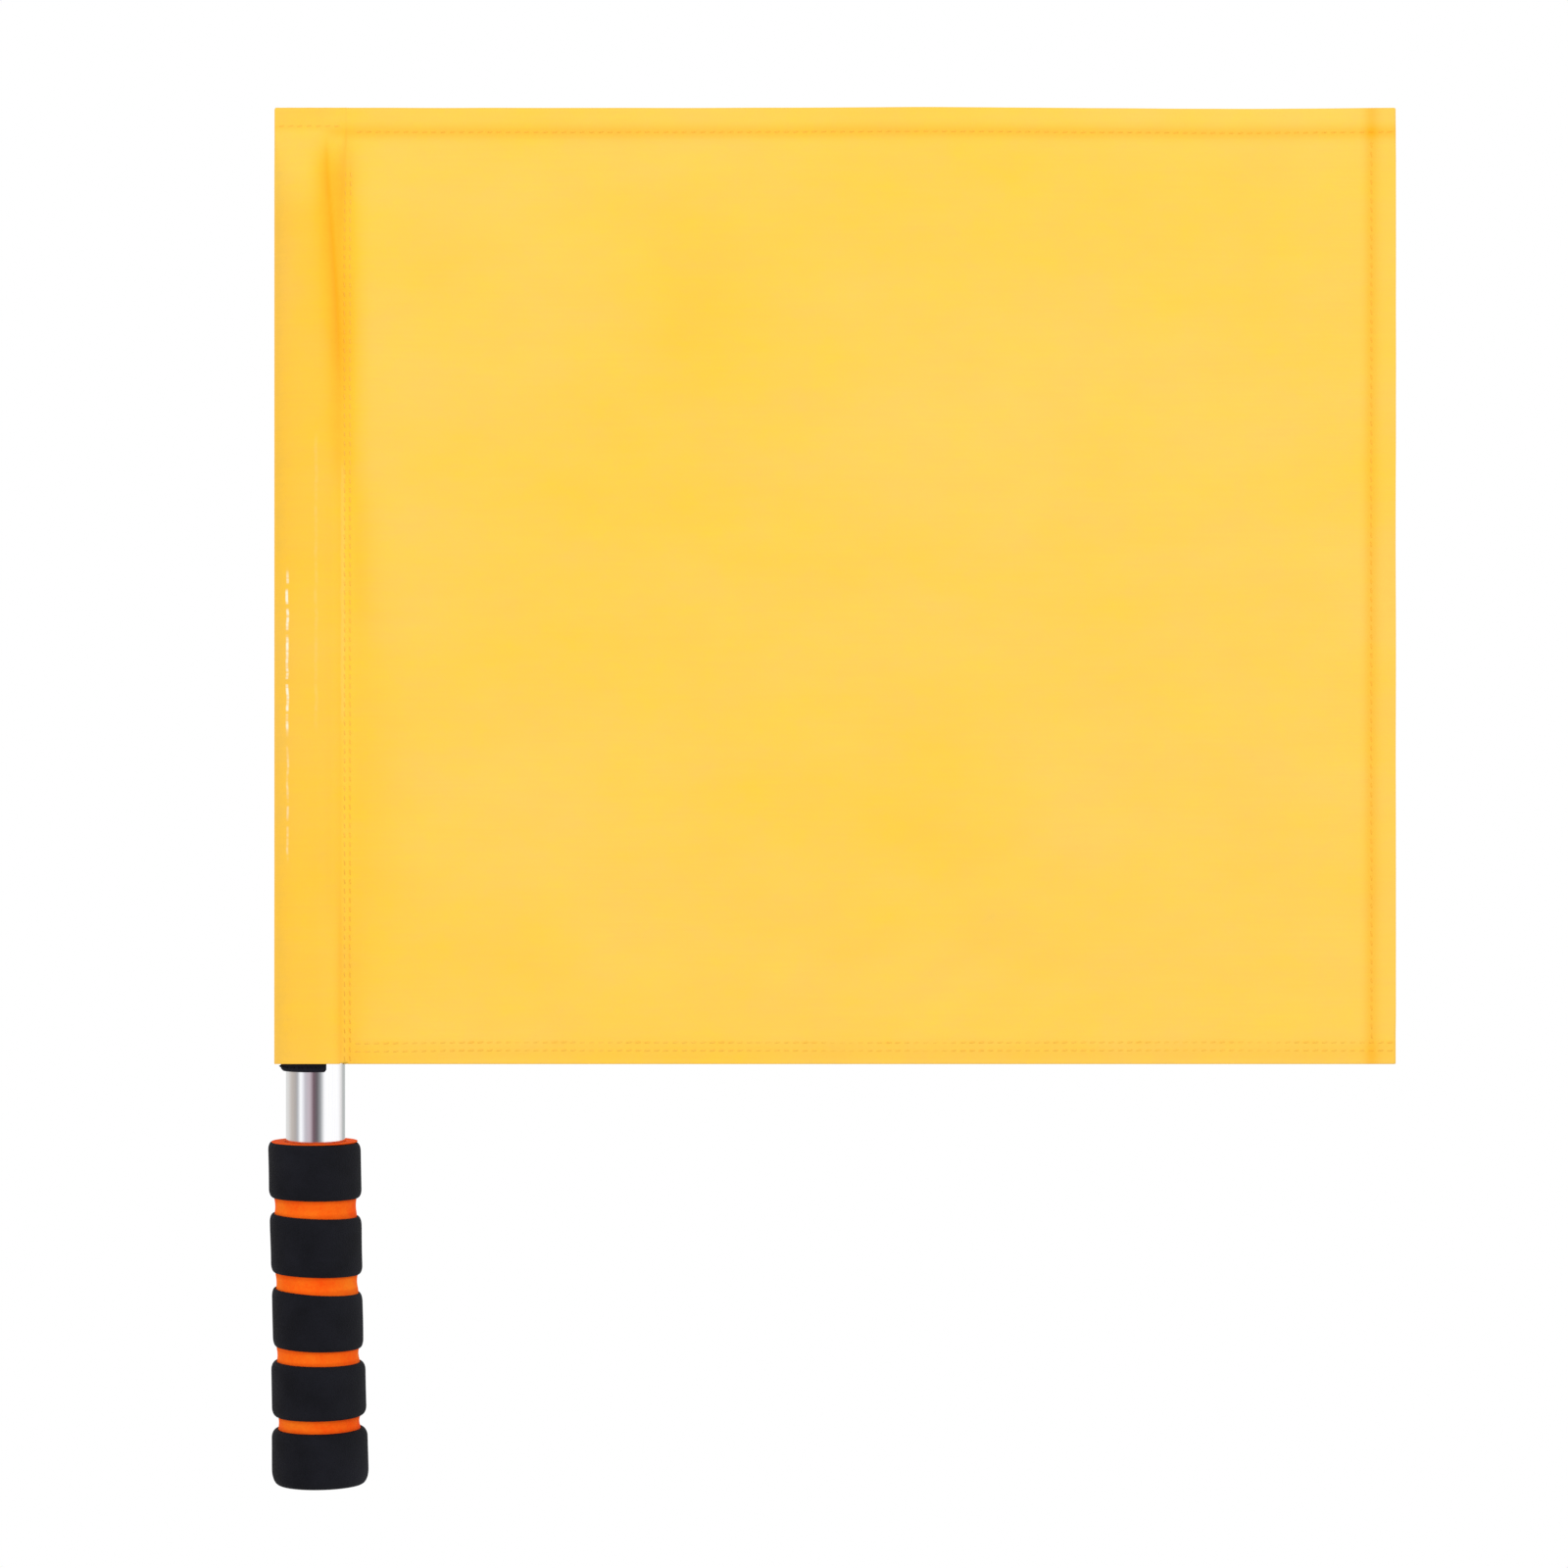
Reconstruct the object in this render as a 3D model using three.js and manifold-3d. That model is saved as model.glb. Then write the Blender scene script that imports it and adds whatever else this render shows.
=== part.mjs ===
// A hand signal flag: a hemmed cloth flag whose sewn sleeve slides over a steel tube with a foam grip.
// Millimetres. +Z runs up the pole, +X runs along the flag to its fly edge, and -Y faces the front.
// The origin is the centre of the grip's flat bottom end.

import * as THREE from 'three';
import { mergeVertices } from 'three/addons/utils/BufferGeometryUtils.js';
import Module from 'manifold-3d';

const wasm = await Module();
wasm.setup();

const { degToRad, lerp, smoothstep } = THREE.MathUtils;

// Turned pieces
const FACETS = 36;
const CURVE_STEPS = 3;

// Pole: a round tube closed by a plug at each end
const TUBE_RADIUS = 9.5;
const TUBE_WALL = 0.8;
const TUBE_TOP = 421;
const FIT_GAP = 0.1;
const BOTTOM_HEAD_HEIGHT = 1.8;
const BOTTOM_HEAD_ROUND = 0.6;
const TOP_HEAD_HEIGHT = 4;
const TOP_HEAD_ROUND = 3.6;
const PLUG_STEM_LENGTH = 12;
const PLUG_NOSE = 0.8;
const PLUG_WALL = 1.6;

// Grip: an orange foam core with five black foam bands, listed from the top down
const GRIP_BORE = TUBE_RADIUS + FIT_GAP;
const CORE_RADIUS = 13.3;
const CORE_GROOVE_DEPTH = 0.2;
const BAND_ROUND = 1.4;
const GRIP_BANDS = [
  { height: 18.2, grooveBelow: 5.6, radius: 15.0 },
  { height: 18.8, grooveBelow: 5.6, radius: 15.0 },
  { height: 18.2, grooveBelow: 4.7, radius: 15.0 },
  { height: 17.5, grooveBelow: 4.1, radius: 15.3 },
  { height: 17.8, grooveBelow: 0, radius: 15.8 },
];
const GRIP_HEIGHT = GRIP_BANDS.reduce((sum, band) => sum + band.height + band.grooveBelow, 0);

// Hook-and-loop closure: hook tape stuck round the tube, loop tape sewn inside the sleeve
const TAPE_WIDTH = 25;
const TAPE_START = degToRad(110);
const TAPE_SWEEP = degToRad(180);
const TAPE_STEPS = 20;
const HOOK_INNER = TUBE_RADIUS + FIT_GAP;
const HOOK_OUTER = 11.6;
const HOOK_BOTTOM = 133.4;
const LOOP_INNER = 11.75;
const LOOP_OUTER = 12.65;
const LOOP_BOTTOM = 137;

// Flag outline
const FLAG_BOTTOM = 135.3;
const FLAG_TOP = 444.5;
const FLY_EDGE = 349.2;
const FLAG_HEIGHT = FLAG_TOP - FLAG_BOTTOM;

// Sleeve: it hugs the tube on the seam side and stands out over the closure on the other side
const SLEEVE_CLOTH = 0.5;
const SLEEVE_SEAM_SIDE = 9.8;
const SLEEVE_TAPE_SIDE = 12.8;
const SLEEVE_HUG_DIRECTION = degToRad(20);
const SLEEVE_HUG_END = degToRad(35);
const SLEEVE_STAND_OUT = degToRad(85);
const SLEEVE_STEPS = 48;
const ROOF_START = TUBE_TOP + TOP_HEAD_HEIGHT;
const ROOF_INSIDE = 11;
const ROOF_OUTSIDE = 11.8;
const ROOF_STEPS = 5;
const ROOF_LAST_ANGLE = degToRad(84);
const CLOSED_TOP_BOTTOM = 436;
const CLOSED_TOP_THICKNESS = 1.2;

// Seam between the sleeve and the panel; the panel swings about the line between them
const SEAM_Y = -4.9;
const SEAM_START = 9.3;
const SEAM_END = 12.1;
const SEAM_THICKNESS = 1;
const SEAM_ROWS = [9.9, 11.7];
const SWING_X = 12.45;
const SWING_GAP = 0.25;

// Panel: it leaves the seam in front of the pole's centre and settles behind it in a slow wave
const PANEL_CLOTH = 0.4;
const STRIP_STEP = 12;
const SETTLED_X = 60;
const WAVE_DEPTH = 2.5;
const WAVE_COUNT = 1.5;

// Hems, turned to the back, and the thread that holds them
const HEM_WIDTH = 8.6;
const HEM_CLOTH = 0.6;
const HEM_GAP = 0.15;
const HEM_START = 13.6;
const CORNER_GAP = 0.3;
const HEM_ROW = 7.9;
const BOTTOM_ROWS = [4.4, 7];
const CLOSING_ROW = 438.4;
const THREAD_WIDTH = 0.5;
const THREAD_THICKNESS = 0.3;
const THREAD_GAP = 0.15;

function finish(color, roughness, metalness = 0) {
  return new THREE.MeshStandardMaterial({ color, roughness, metalness });
}

const steel = () => finish(0xc9c8cc, 0.22, 1);
const blackPlastic = () => finish(0x17181a, 0.5);
const orangeFoam = () => finish(0xfd5d0d, 0.85);
const blackFoam = () => finish(0x1f2025, 0.9);
const blackTape = () => finish(0x101114, 0.95);
const yellowCloth = () => finish(0xffd45b, 0.8);
const yellowThread = () => finish(0xf2b93c, 0.6);

// Merges shared corners and turns the faces outwards.
function closed(geometry) {
  geometry.deleteAttribute('normal');
  geometry.deleteAttribute('uv');
  const merged = mergeVertices(geometry);
  const index = merged.index;
  const corners = [new THREE.Vector3(), new THREE.Vector3(), new THREE.Vector3()];
  let volume = 0;
  for (let i = 0; i < index.count; i += 3) {
    corners.forEach((corner, j) => corner.fromBufferAttribute(merged.attributes.position, index.getX(i + j)));
    volume += corners[0].dot(corners[1].cross(corners[2]));
  }
  if (volume < 0) {
    for (let i = 0; i < index.count; i += 3) {
      const first = index.getX(i);
      index.setX(i, index.getX(i + 1));
      index.setX(i + 1, first);
    }
  }
  return merged;
}

function toSolid(geometry) {
  const merged = closed(geometry);
  const mesh = new wasm.Mesh({
    numProp: 3,
    vertProperties: Float32Array.from(merged.attributes.position.array),
    triVerts: Uint32Array.from(merged.index.array),
  });
  return new wasm.Manifold(mesh);
}

function fromSolid(solid) {
  const mesh = solid.getMesh();
  const geometry = new THREE.BufferGeometry();
  geometry.setAttribute('position', new THREE.BufferAttribute(Float32Array.from(mesh.vertProperties), 3));
  geometry.setIndex(Array.from(mesh.triVerts));
  return geometry;
}

function piece(parent, name, geometry, material, z = 0) {
  const mesh = new THREE.Mesh(closed(geometry), material);
  mesh.name = name;
  mesh.position.z = z;
  parent.add(mesh);
  return mesh;
}

// Turns an outline of (radius, height) points about the pole's axis.
function turned(outline) {
  return new THREE.LatheGeometry(outline.getPoints(CURVE_STEPS), FACETS).rotateX(Math.PI / 2);
}

function box(xFrom, xTo, yFrom, yTo, zFrom, zTo) {
  const geometry = new THREE.BoxGeometry(xTo - xFrom, yTo - yFrom, zTo - zFrom);
  return geometry.translate((xFrom + xTo) / 2, (yFrom + yTo) / 2, (zFrom + zTo) / 2);
}

// --- Pole ---

function tubeGeometry() {
  const outline = new THREE.Path();
  outline.moveTo(TUBE_RADIUS - TUBE_WALL, BOTTOM_HEAD_HEIGHT + FIT_GAP);
  outline.lineTo(TUBE_RADIUS, BOTTOM_HEAD_HEIGHT + FIT_GAP);
  outline.lineTo(TUBE_RADIUS, TUBE_TOP - FIT_GAP);
  outline.lineTo(TUBE_RADIUS - TUBE_WALL, TUBE_TOP - FIT_GAP);
  outline.closePath();
  return turned(outline);
}

// A cup-shaped plug with its outer face at height 0 and its stem rising into the tube.
function plugGeometry(headHeight, headRound) {
  const stem = TUBE_RADIUS - TUBE_WALL - FIT_GAP;
  const stemEnd = headHeight + PLUG_STEM_LENGTH;
  const outline = new THREE.Path();
  outline.moveTo(0, 0);
  outline.lineTo(TUBE_RADIUS - headRound, 0);
  outline.absarc(TUBE_RADIUS - headRound, headRound, headRound, -Math.PI / 2, 0, false);
  outline.lineTo(TUBE_RADIUS, headHeight);
  outline.lineTo(stem, headHeight);
  outline.lineTo(stem, stemEnd - PLUG_NOSE);
  outline.lineTo(stem - PLUG_NOSE, stemEnd);
  outline.lineTo(stem - PLUG_WALL, stemEnd);
  outline.lineTo(stem - PLUG_WALL, headHeight + PLUG_WALL);
  outline.lineTo(0, headHeight + PLUG_WALL);
  return turned(outline);
}

// --- Grip ---

function bandGeometry(height, radius) {
  const inner = CORE_RADIUS + FIT_GAP;
  const outline = new THREE.Path();
  outline.moveTo(inner, 0);
  outline.lineTo(radius - BAND_ROUND, 0);
  outline.absarc(radius - BAND_ROUND, BAND_ROUND, BAND_ROUND, -Math.PI / 2, 0, false);
  outline.lineTo(radius, height - BAND_ROUND);
  outline.absarc(radius - BAND_ROUND, height - BAND_ROUND, BAND_ROUND, 0, Math.PI / 2, false);
  outline.lineTo(inner, height);
  outline.closePath();
  return turned(outline);
}

function coreGeometry() {
  const outline = new THREE.Path();
  outline.moveTo(GRIP_BORE, GRIP_HEIGHT);
  outline.lineTo(CORE_RADIUS, GRIP_HEIGHT);
  let level = GRIP_HEIGHT;
  for (const band of GRIP_BANDS) {
    level -= band.height;
    outline.lineTo(CORE_RADIUS, level);
    if (band.grooveBelow > 0) {
      const floor = CORE_RADIUS - 2 * CORE_GROOVE_DEPTH;
      const middle = level - band.grooveBelow / 2;
      level -= band.grooveBelow;
      outline.quadraticCurveTo(floor, middle, CORE_RADIUS, level);
    }
  }
  outline.lineTo(GRIP_BORE, level);
  outline.closePath();
  return turned(outline);
}

// --- Closure ---

function tapeGeometry(inner, outer) {
  const outline = new THREE.Shape();
  outline.absarc(0, 0, outer, TAPE_START, TAPE_START + TAPE_SWEEP, false);
  outline.absarc(0, 0, inner, TAPE_START + TAPE_SWEEP, TAPE_START, true);
  outline.closePath();
  const settings = { depth: TAPE_WIDTH, bevelEnabled: false, curveSegments: TAPE_STEPS };
  return new THREE.ExtrudeGeometry(outline, settings);
}

// --- Sleeve ---

// The sleeve's inside radius in a direction seen from the pole's axis.
function sleeveRadius(angle) {
  const turn = Math.abs(Math.atan2(Math.sin(angle - SLEEVE_HUG_DIRECTION), Math.cos(angle - SLEEVE_HUG_DIRECTION)));
  return lerp(SLEEVE_SEAM_SIDE, SLEEVE_TAPE_SIDE, smoothstep(turn, SLEEVE_HUG_END, SLEEVE_STAND_OUT));
}

function sleeveRing(offset, z, flatten) {
  const ring = [];
  for (let i = 0; i < SLEEVE_STEPS; i += 1) {
    const angle = (i / SLEEVE_STEPS) * 2 * Math.PI;
    const radius = sleeveRadius(angle) + offset;
    ring.push(new THREE.Vector3(radius * Math.cos(angle), radius * Math.sin(angle) * flatten, z));
  }
  return ring;
}

// Joins rings of equal length, lowest first, into one capped skin.
function loft(rings) {
  const count = rings[0].length;
  const faces = [];
  for (let level = 0; level < rings.length - 1; level += 1) {
    for (let i = 0; i < count; i += 1) {
      const here = level * count + i;
      const next = level * count + ((i + 1) % count);
      faces.push(here, next, next + count, here, next + count, here + count);
    }
  }
  const lastLevel = (rings.length - 1) * count;
  for (const [a, b, c] of THREE.ShapeUtils.triangulateShape(rings[0], [])) {
    faces.push(a, c, b, lastLevel + a, lastLevel + b, lastLevel + c);
  }
  const geometry = new THREE.BufferGeometry().setFromPoints(rings.flat());
  geometry.setIndex(faces);
  return geometry;
}

// A sleeve-shaped block that flattens to a ridge above the pole.
function sleeveBlock(offset, bottom, roofHeight) {
  const rings = [sleeveRing(offset, bottom, 1)];
  for (let step = 0; step <= ROOF_STEPS; step += 1) {
    const angle = (step / ROOF_STEPS) * ROOF_LAST_ANGLE;
    rings.push(sleeveRing(offset, ROOF_START + roofHeight * Math.sin(angle), Math.cos(angle)));
  }
  return loft(rings);
}

function sleeveGeometry() {
  const half = CLOSED_TOP_THICKNESS / 2;
  const left = -(SLEEVE_TAPE_SIDE + SLEEVE_CLOTH);
  const right = SLEEVE_SEAM_SIDE + SLEEVE_CLOTH;
  const seam = box(
    SEAM_START, SEAM_END, SEAM_Y - SEAM_THICKNESS / 2, SEAM_Y + SEAM_THICKNESS / 2, FLAG_BOTTOM, ROOF_START);
  const closedTop = box(left, right, -half, half, CLOSED_TOP_BOTTOM, FLAG_TOP);
  const inside = sleeveBlock(0, FLAG_BOTTOM - 1, ROOF_INSIDE);
  const skin = toSolid(sleeveBlock(SLEEVE_CLOTH, FLAG_BOTTOM, ROOF_OUTSIDE));
  return fromSolid(skin.add(toSolid(seam)).add(toSolid(closedTop)).subtract(toSolid(inside)));
}

// --- Panel ---

// Depth of the cloth's middle along the flag.
function clothDepth(x) {
  const along = (x - SWING_X) / (FLY_EDGE - SWING_X);
  const wave = WAVE_DEPTH * along * Math.sin(2 * Math.PI * WAVE_COUNT * along);
  return SEAM_Y * (1 - smoothstep(x, SWING_X, SETTLED_X)) + wave;
}

// An upright strip that follows the cloth, standing off its middle by offset.
function clothStrip(xFrom, xTo, offset, thickness, height) {
  const steps = Math.ceil((xTo - xFrom) / STRIP_STEP);
  const front = [];
  const back = [];
  for (let i = 0; i <= steps; i += 1) {
    const x = lerp(xFrom, xTo, i / steps);
    const y = clothDepth(x) + offset;
    front.push(new THREE.Vector2(x, y - thickness / 2));
    back.unshift(new THREE.Vector2(x, y + thickness / 2));
  }
  const settings = { depth: height, bevelEnabled: false };
  return new THREE.ExtrudeGeometry(new THREE.Shape([...front, ...back]), settings);
}

function hemStrip(xFrom, xTo, height) {
  return clothStrip(xFrom, xTo, (PANEL_CLOTH + HEM_CLOTH) / 2 + HEM_GAP, HEM_CLOTH, height);
}

function threadStrip(xFrom, xTo, height) {
  const offset = -((PANEL_CLOTH + THREAD_THICKNESS) / 2 + THREAD_GAP);
  return clothStrip(xFrom, xTo, offset, THREAD_THICKNESS, height);
}

// --- Assembly ---

const flag = new THREE.Group();
const pole = new THREE.Group();
const grip = new THREE.Group();
const sleeve = new THREE.Group();
const panel = new THREE.Group();
flag.add(pole, sleeve, panel);
pole.add(grip);

piece(pole, 'pole_tube', tubeGeometry(), steel());
piece(pole, 'bottom_plug', plugGeometry(BOTTOM_HEAD_HEIGHT, BOTTOM_HEAD_ROUND), blackPlastic());
const topPlug = piece(pole, 'top_plug', plugGeometry(TOP_HEAD_HEIGHT, TOP_HEAD_ROUND), blackPlastic());
topPlug.rotation.x = Math.PI;
topPlug.position.z = TUBE_TOP + TOP_HEAD_HEIGHT;
piece(pole, 'hook_patch', tapeGeometry(HOOK_INNER, HOOK_OUTER), blackTape(), HOOK_BOTTOM);

piece(grip, 'grip_core', coreGeometry(), orangeFoam());
let bandTop = GRIP_HEIGHT;
GRIP_BANDS.forEach((band, i) => {
  piece(grip, `grip_band_${i + 1}`, bandGeometry(band.height, band.radius), blackFoam(), bandTop - band.height);
  bandTop -= band.height + band.grooveBelow;
});

piece(sleeve, 'pole_sleeve', sleeveGeometry(), yellowCloth());
piece(sleeve, 'loop_patch', tapeGeometry(LOOP_INNER, LOOP_OUTER), blackTape(), LOOP_BOTTOM);
SEAM_ROWS.forEach((x, i) => {
  const front = SEAM_Y - SEAM_THICKNESS / 2 - THREAD_GAP;
  const row = box(x - THREAD_WIDTH / 2, x + THREAD_WIDTH / 2, front - THREAD_THICKNESS, front, FLAG_BOTTOM, ROOF_START);
  piece(sleeve, `sleeve_seam_stitching_${i + 1}`, row, yellowThread());
});
const closedFront = -(CLOSED_TOP_THICKNESS / 2 + THREAD_GAP);
const closingRow = box(
  -SLEEVE_TAPE_SIDE, SLEEVE_SEAM_SIDE, closedFront - THREAD_THICKNESS, closedFront,
  CLOSING_ROW - THREAD_WIDTH / 2, CLOSING_ROW + THREAD_WIDTH / 2);
piece(sleeve, 'sleeve_top_stitching', closingRow, yellowThread());

const cloth = clothStrip(SWING_X + SWING_GAP, FLY_EDGE, 0, PANEL_CLOTH, FLAG_HEIGHT);
piece(panel, 'flag_panel', cloth, yellowCloth(), FLAG_BOTTOM);
piece(panel, 'top_hem', hemStrip(HEM_START, FLY_EDGE, HEM_WIDTH), yellowCloth(), FLAG_TOP - HEM_WIDTH);
piece(panel, 'bottom_hem', hemStrip(HEM_START, FLY_EDGE, HEM_WIDTH), yellowCloth(), FLAG_BOTTOM);
const flyHemHeight = FLAG_HEIGHT - 2 * (HEM_WIDTH + CORNER_GAP);
const flyHemBottom = FLAG_BOTTOM + HEM_WIDTH + CORNER_GAP;
piece(panel, 'fly_hem', hemStrip(FLY_EDGE - HEM_WIDTH, FLY_EDGE, flyHemHeight), yellowCloth(), flyHemBottom);

const topRow = FLAG_TOP - HEM_ROW;
const flyRow = FLY_EDGE - HEM_ROW;
const rowHalf = THREAD_WIDTH / 2;
piece(panel, 'top_hem_stitching', threadStrip(HEM_START, FLY_EDGE, THREAD_WIDTH), yellowThread(), topRow - rowHalf);
BOTTOM_ROWS.forEach((height, i) => {
  const row = threadStrip(HEM_START, FLY_EDGE, THREAD_WIDTH);
  piece(panel, `bottom_hem_stitching_${i + 1}`, row, yellowThread(), FLAG_BOTTOM + height - rowHalf);
});
const flyRowBottom = FLAG_BOTTOM + BOTTOM_ROWS[1] + rowHalf + CORNER_GAP;
const flyRowHeight = topRow - rowHalf - CORNER_GAP - flyRowBottom;
piece(
  panel, 'fly_hem_stitching', threadStrip(flyRow - rowHalf, flyRow + rowHalf, flyRowHeight),
  yellowThread(), flyRowBottom);

export default flag;
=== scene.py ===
import math

import bmesh
import bpy
import numpy as np
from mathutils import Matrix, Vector


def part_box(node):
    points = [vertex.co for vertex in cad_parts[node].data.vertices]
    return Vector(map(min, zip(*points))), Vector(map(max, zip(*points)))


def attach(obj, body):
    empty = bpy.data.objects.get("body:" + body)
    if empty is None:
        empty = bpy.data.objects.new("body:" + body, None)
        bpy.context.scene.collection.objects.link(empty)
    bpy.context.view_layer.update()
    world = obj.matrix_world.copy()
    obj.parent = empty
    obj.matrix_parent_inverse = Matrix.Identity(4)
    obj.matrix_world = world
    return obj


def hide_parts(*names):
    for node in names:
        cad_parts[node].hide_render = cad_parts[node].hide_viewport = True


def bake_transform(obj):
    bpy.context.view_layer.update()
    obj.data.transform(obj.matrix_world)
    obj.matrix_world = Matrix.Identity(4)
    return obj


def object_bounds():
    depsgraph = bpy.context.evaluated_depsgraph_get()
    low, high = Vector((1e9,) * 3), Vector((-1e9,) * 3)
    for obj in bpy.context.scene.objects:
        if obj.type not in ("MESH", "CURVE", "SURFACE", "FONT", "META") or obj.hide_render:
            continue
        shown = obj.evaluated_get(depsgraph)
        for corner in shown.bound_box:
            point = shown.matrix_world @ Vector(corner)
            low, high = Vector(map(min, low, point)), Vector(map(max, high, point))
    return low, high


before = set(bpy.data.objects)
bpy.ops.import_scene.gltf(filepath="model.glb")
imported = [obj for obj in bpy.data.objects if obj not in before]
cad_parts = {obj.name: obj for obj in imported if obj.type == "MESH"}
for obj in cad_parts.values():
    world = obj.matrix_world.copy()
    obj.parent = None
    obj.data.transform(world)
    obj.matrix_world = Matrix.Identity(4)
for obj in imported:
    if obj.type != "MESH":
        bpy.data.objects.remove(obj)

# The looks of a hand signal flag: a hemmed cloth flag whose sewn sleeve slides over a steel tube with a
# foam grip. Lengths are in millimetres, and meshes are scaled to metres as they are made. +X runs along the
# flag to its fly edge, +Z runs up the pole and -Y faces the front.

MM = 0.001
cad_low, cad_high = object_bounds()


def node_box(node):
    low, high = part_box(node)
    return low / MM, high / MM


# Driving sizes from the frame
tube_low, tube_high = node_box("pole_tube")
core_low, core_high = node_box("grip_core")
sleeve_low, sleeve_high = node_box("pole_sleeve")
panel_high = node_box("flag_panel")[1]
hook_low, hook_high = node_box("hook_patch")
loop_low, loop_high = node_box("loop_patch")
bottom_plug_low, bottom_plug_high = node_box("bottom_plug")
top_plug_low, top_plug_high = node_box("top_plug")
flap_end = node_box("sleeve_seam_stitching_2")[1].x + 0.15

TUBE_RADIUS = 9.5
TUBE_WALL = 0.8
FLAG_BOTTOM = sleeve_low.z
FLAG_TOP = sleeve_high.z
FLY_EDGE = panel_high.x
PLUG_TOP = top_plug_high.z

# Cloth: one continuous sheet, turned to the back at its free edges
CLOTH_THICKNESS = 0.22
HEM_WIDTH = 9.2
HEM_TUCK = 3.2
PANEL_TURN = 0.35
SLEEVE_TURN = 0.135
CLOSED_TOP_TURN = 0.55
FLY_TURN = 0.2
FLY_TURN_OVER_HEM = 0.85
TURN_STEPS = 5
LAYER_GAP = 0.3

# Sleeve: its cross-section is an oval that stands out over the tapes and hugs the tube by the seam
SLEEVE_LEFT = 13.15
SLEEVE_RIGHT = 9.95
SLEEVE_FRONT = 10.8
SLEEVE_BACK = 11.5
TAPE_ZONE_TOP = 166
TAPE_ZONE_FADE = 34
HUG_DIRECTION = math.radians(20)
HUG_END = math.radians(35)
STAND_OUT = math.radians(85)
SEAM_DIRECTION = math.radians(-28)
SEAM_LIFT_START = 402
LOOP_COLUMNS = 128
LOOP_FIRST = math.radians(7)
LOOP_LAST = math.radians(3)
LOOP_FRONT = math.radians(184)
INSIDE_DROP = 0.45
SEAM_COLUMNS = 6
FLAP_COLUMNS = 5
FLY_COLUMNS = 4
SLEEVE_CLEARANCE = 0.28
BOTTOM_RISE = 0.073

# Panel: it leaves the seam in front of the pole's centre and settles into a slow wave level with it
SETTLED_X = 60
SEAM_EDGE_X = 12.45
WAVE_DEPTH = 2.5
WAVE_COUNT = 1.5
BOTTOM_PUCKER_PITCH = 27

# Stitching
TOP_ROW = FLAG_TOP - 7.9
FLY_ROW = FLY_EDGE - 7.9
BOTTOM_ROWS = (FLAG_BOTTOM + 4.4, FLAG_BOTTOM + 7)
SEAM_ROWS = (9.9, 11.7)
CLOSING_ROW = FLAG_TOP - 6.1
ROOF_START = PLUG_TOP - 2.5
ROOF_END = CLOSING_ROW - 0.8
ROOF_SOFTNESS = 0.07
STITCH_PITCH = 3.0
STITCH_LENGTH = 2.4
THREAD_WIDTH = 0.45
STITCH_SLANT = 0.3
THREAD_HEIGHT = 0.22

# Grip: the foam is a little out of true, so its outside leans as it goes up, and its cuts aren't quite square
GRIP_LEAN = 2.0
GRIP_LEAN_MIDDLE = 0.62
BAND_COUNT = 5
BAND_TOP_TILTS = (1.2, 2.8, 4.0, 1.2, -0.2)
BAND_BOTTOM_TILTS = (0.9, 2.0, 1.8, -0.4, 0.0)
BAND_TRIMS = (0.1, 0.3, 0.5, 0.15, 0.3)
BAND_EDGE_HEIGHT = 2.8
LAST_EDGE_HEIGHT = 4.6
RIM_GAP = 0.3
RIM_LIP = 0.6
GROOVE_DEPTH = 0.35
GROOVE_STEPS = 8
CORE_SEED = 31
BAND_SEED = 40

# Plugs
PLUG_STEM = 12
PLUG_WALL = 1.6
PLUG_RIBS = 4
RIB_DEPTH = 0.35
BOTTOM_PLUG_ROUND = 0.6
TOP_PLUG_ROUND = 3.6

WHITE = (1.0, 1.0, 1.0)


# --- Helpers ---

def rise(value, start, end):
    share = np.clip((value - start) / (end - start), 0, 1)
    return share * share * (3 - 2 * share)


def fade(value, start, end):
    return 1 - rise(value, start, end)


def bell(value, middle, width):
    return np.exp(-(((value - middle) / width) ** 2))


def ripple(a, b, seed, count, longest, shortest):
    """Smooth seeded unevenness of about -1 to 1 over two coordinates, from waves in random directions."""
    draw = np.random.default_rng(seed)
    total = np.zeros(np.broadcast(a, b).shape)
    for _ in range(count):
        wavelength = shortest * (longest / shortest) ** draw.random()
        turn, phase = draw.random(2) * math.tau
        total += np.sin(math.tau * (a * math.cos(turn) + b * math.sin(turn)) / wavelength + phase)
    return total / math.sqrt(count)


def add_object(name, data):
    added = bpy.data.objects.new(name, data)
    bpy.context.scene.collection.objects.link(added)
    return added


def make_piece(name, points, faces, material):
    mesh = bpy.data.meshes.new(name)
    mesh.from_pydata((np.asarray(points) * MM).tolist(), [], faces)
    mesh.materials.append(material)
    mesh.shade_smooth()
    return add_object(name, mesh)


def add_values(mesh, **named):
    """Gives the mesh's points named numbers that its material reads."""
    for name, values in named.items():
        attribute = mesh.attributes.new(name, "FLOAT", "POINT")
        attribute.data.foreach_set("value", np.asarray(values, np.float32).ravel())


def apply_modifiers(piece):
    """Gives the piece the mesh that its modifiers make, and takes them off it."""
    evaluated = piece.evaluated_get(bpy.context.evaluated_depsgraph_get())
    mesh = bpy.data.meshes.new_from_object(evaluated)
    piece.modifiers.clear()
    piece.data = mesh


def arc(centre_r, centre_z, radius, start, end, steps, height=None):
    """Points of (radius, height) round a corner between two directions. height makes it an ellipse."""
    turns = np.radians(np.linspace(start, end, steps + 1))
    return [(centre_r + radius * math.cos(t), centre_z + (height or radius) * math.sin(t)) for t in turns]


def refined(outline, step):
    """The closed outline with its long stretches split into steps."""
    points = []
    for (r0, z0), (r1, z1) in zip(outline, outline[1:] + outline[:1]):
        parts = max(1, math.ceil(math.hypot(r1 - r0, z1 - z0) / step))
        points += [(r0 + (r1 - r0) * i / parts, z0 + (z1 - z0) * i / parts) for i in range(parts)]
    return points


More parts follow.
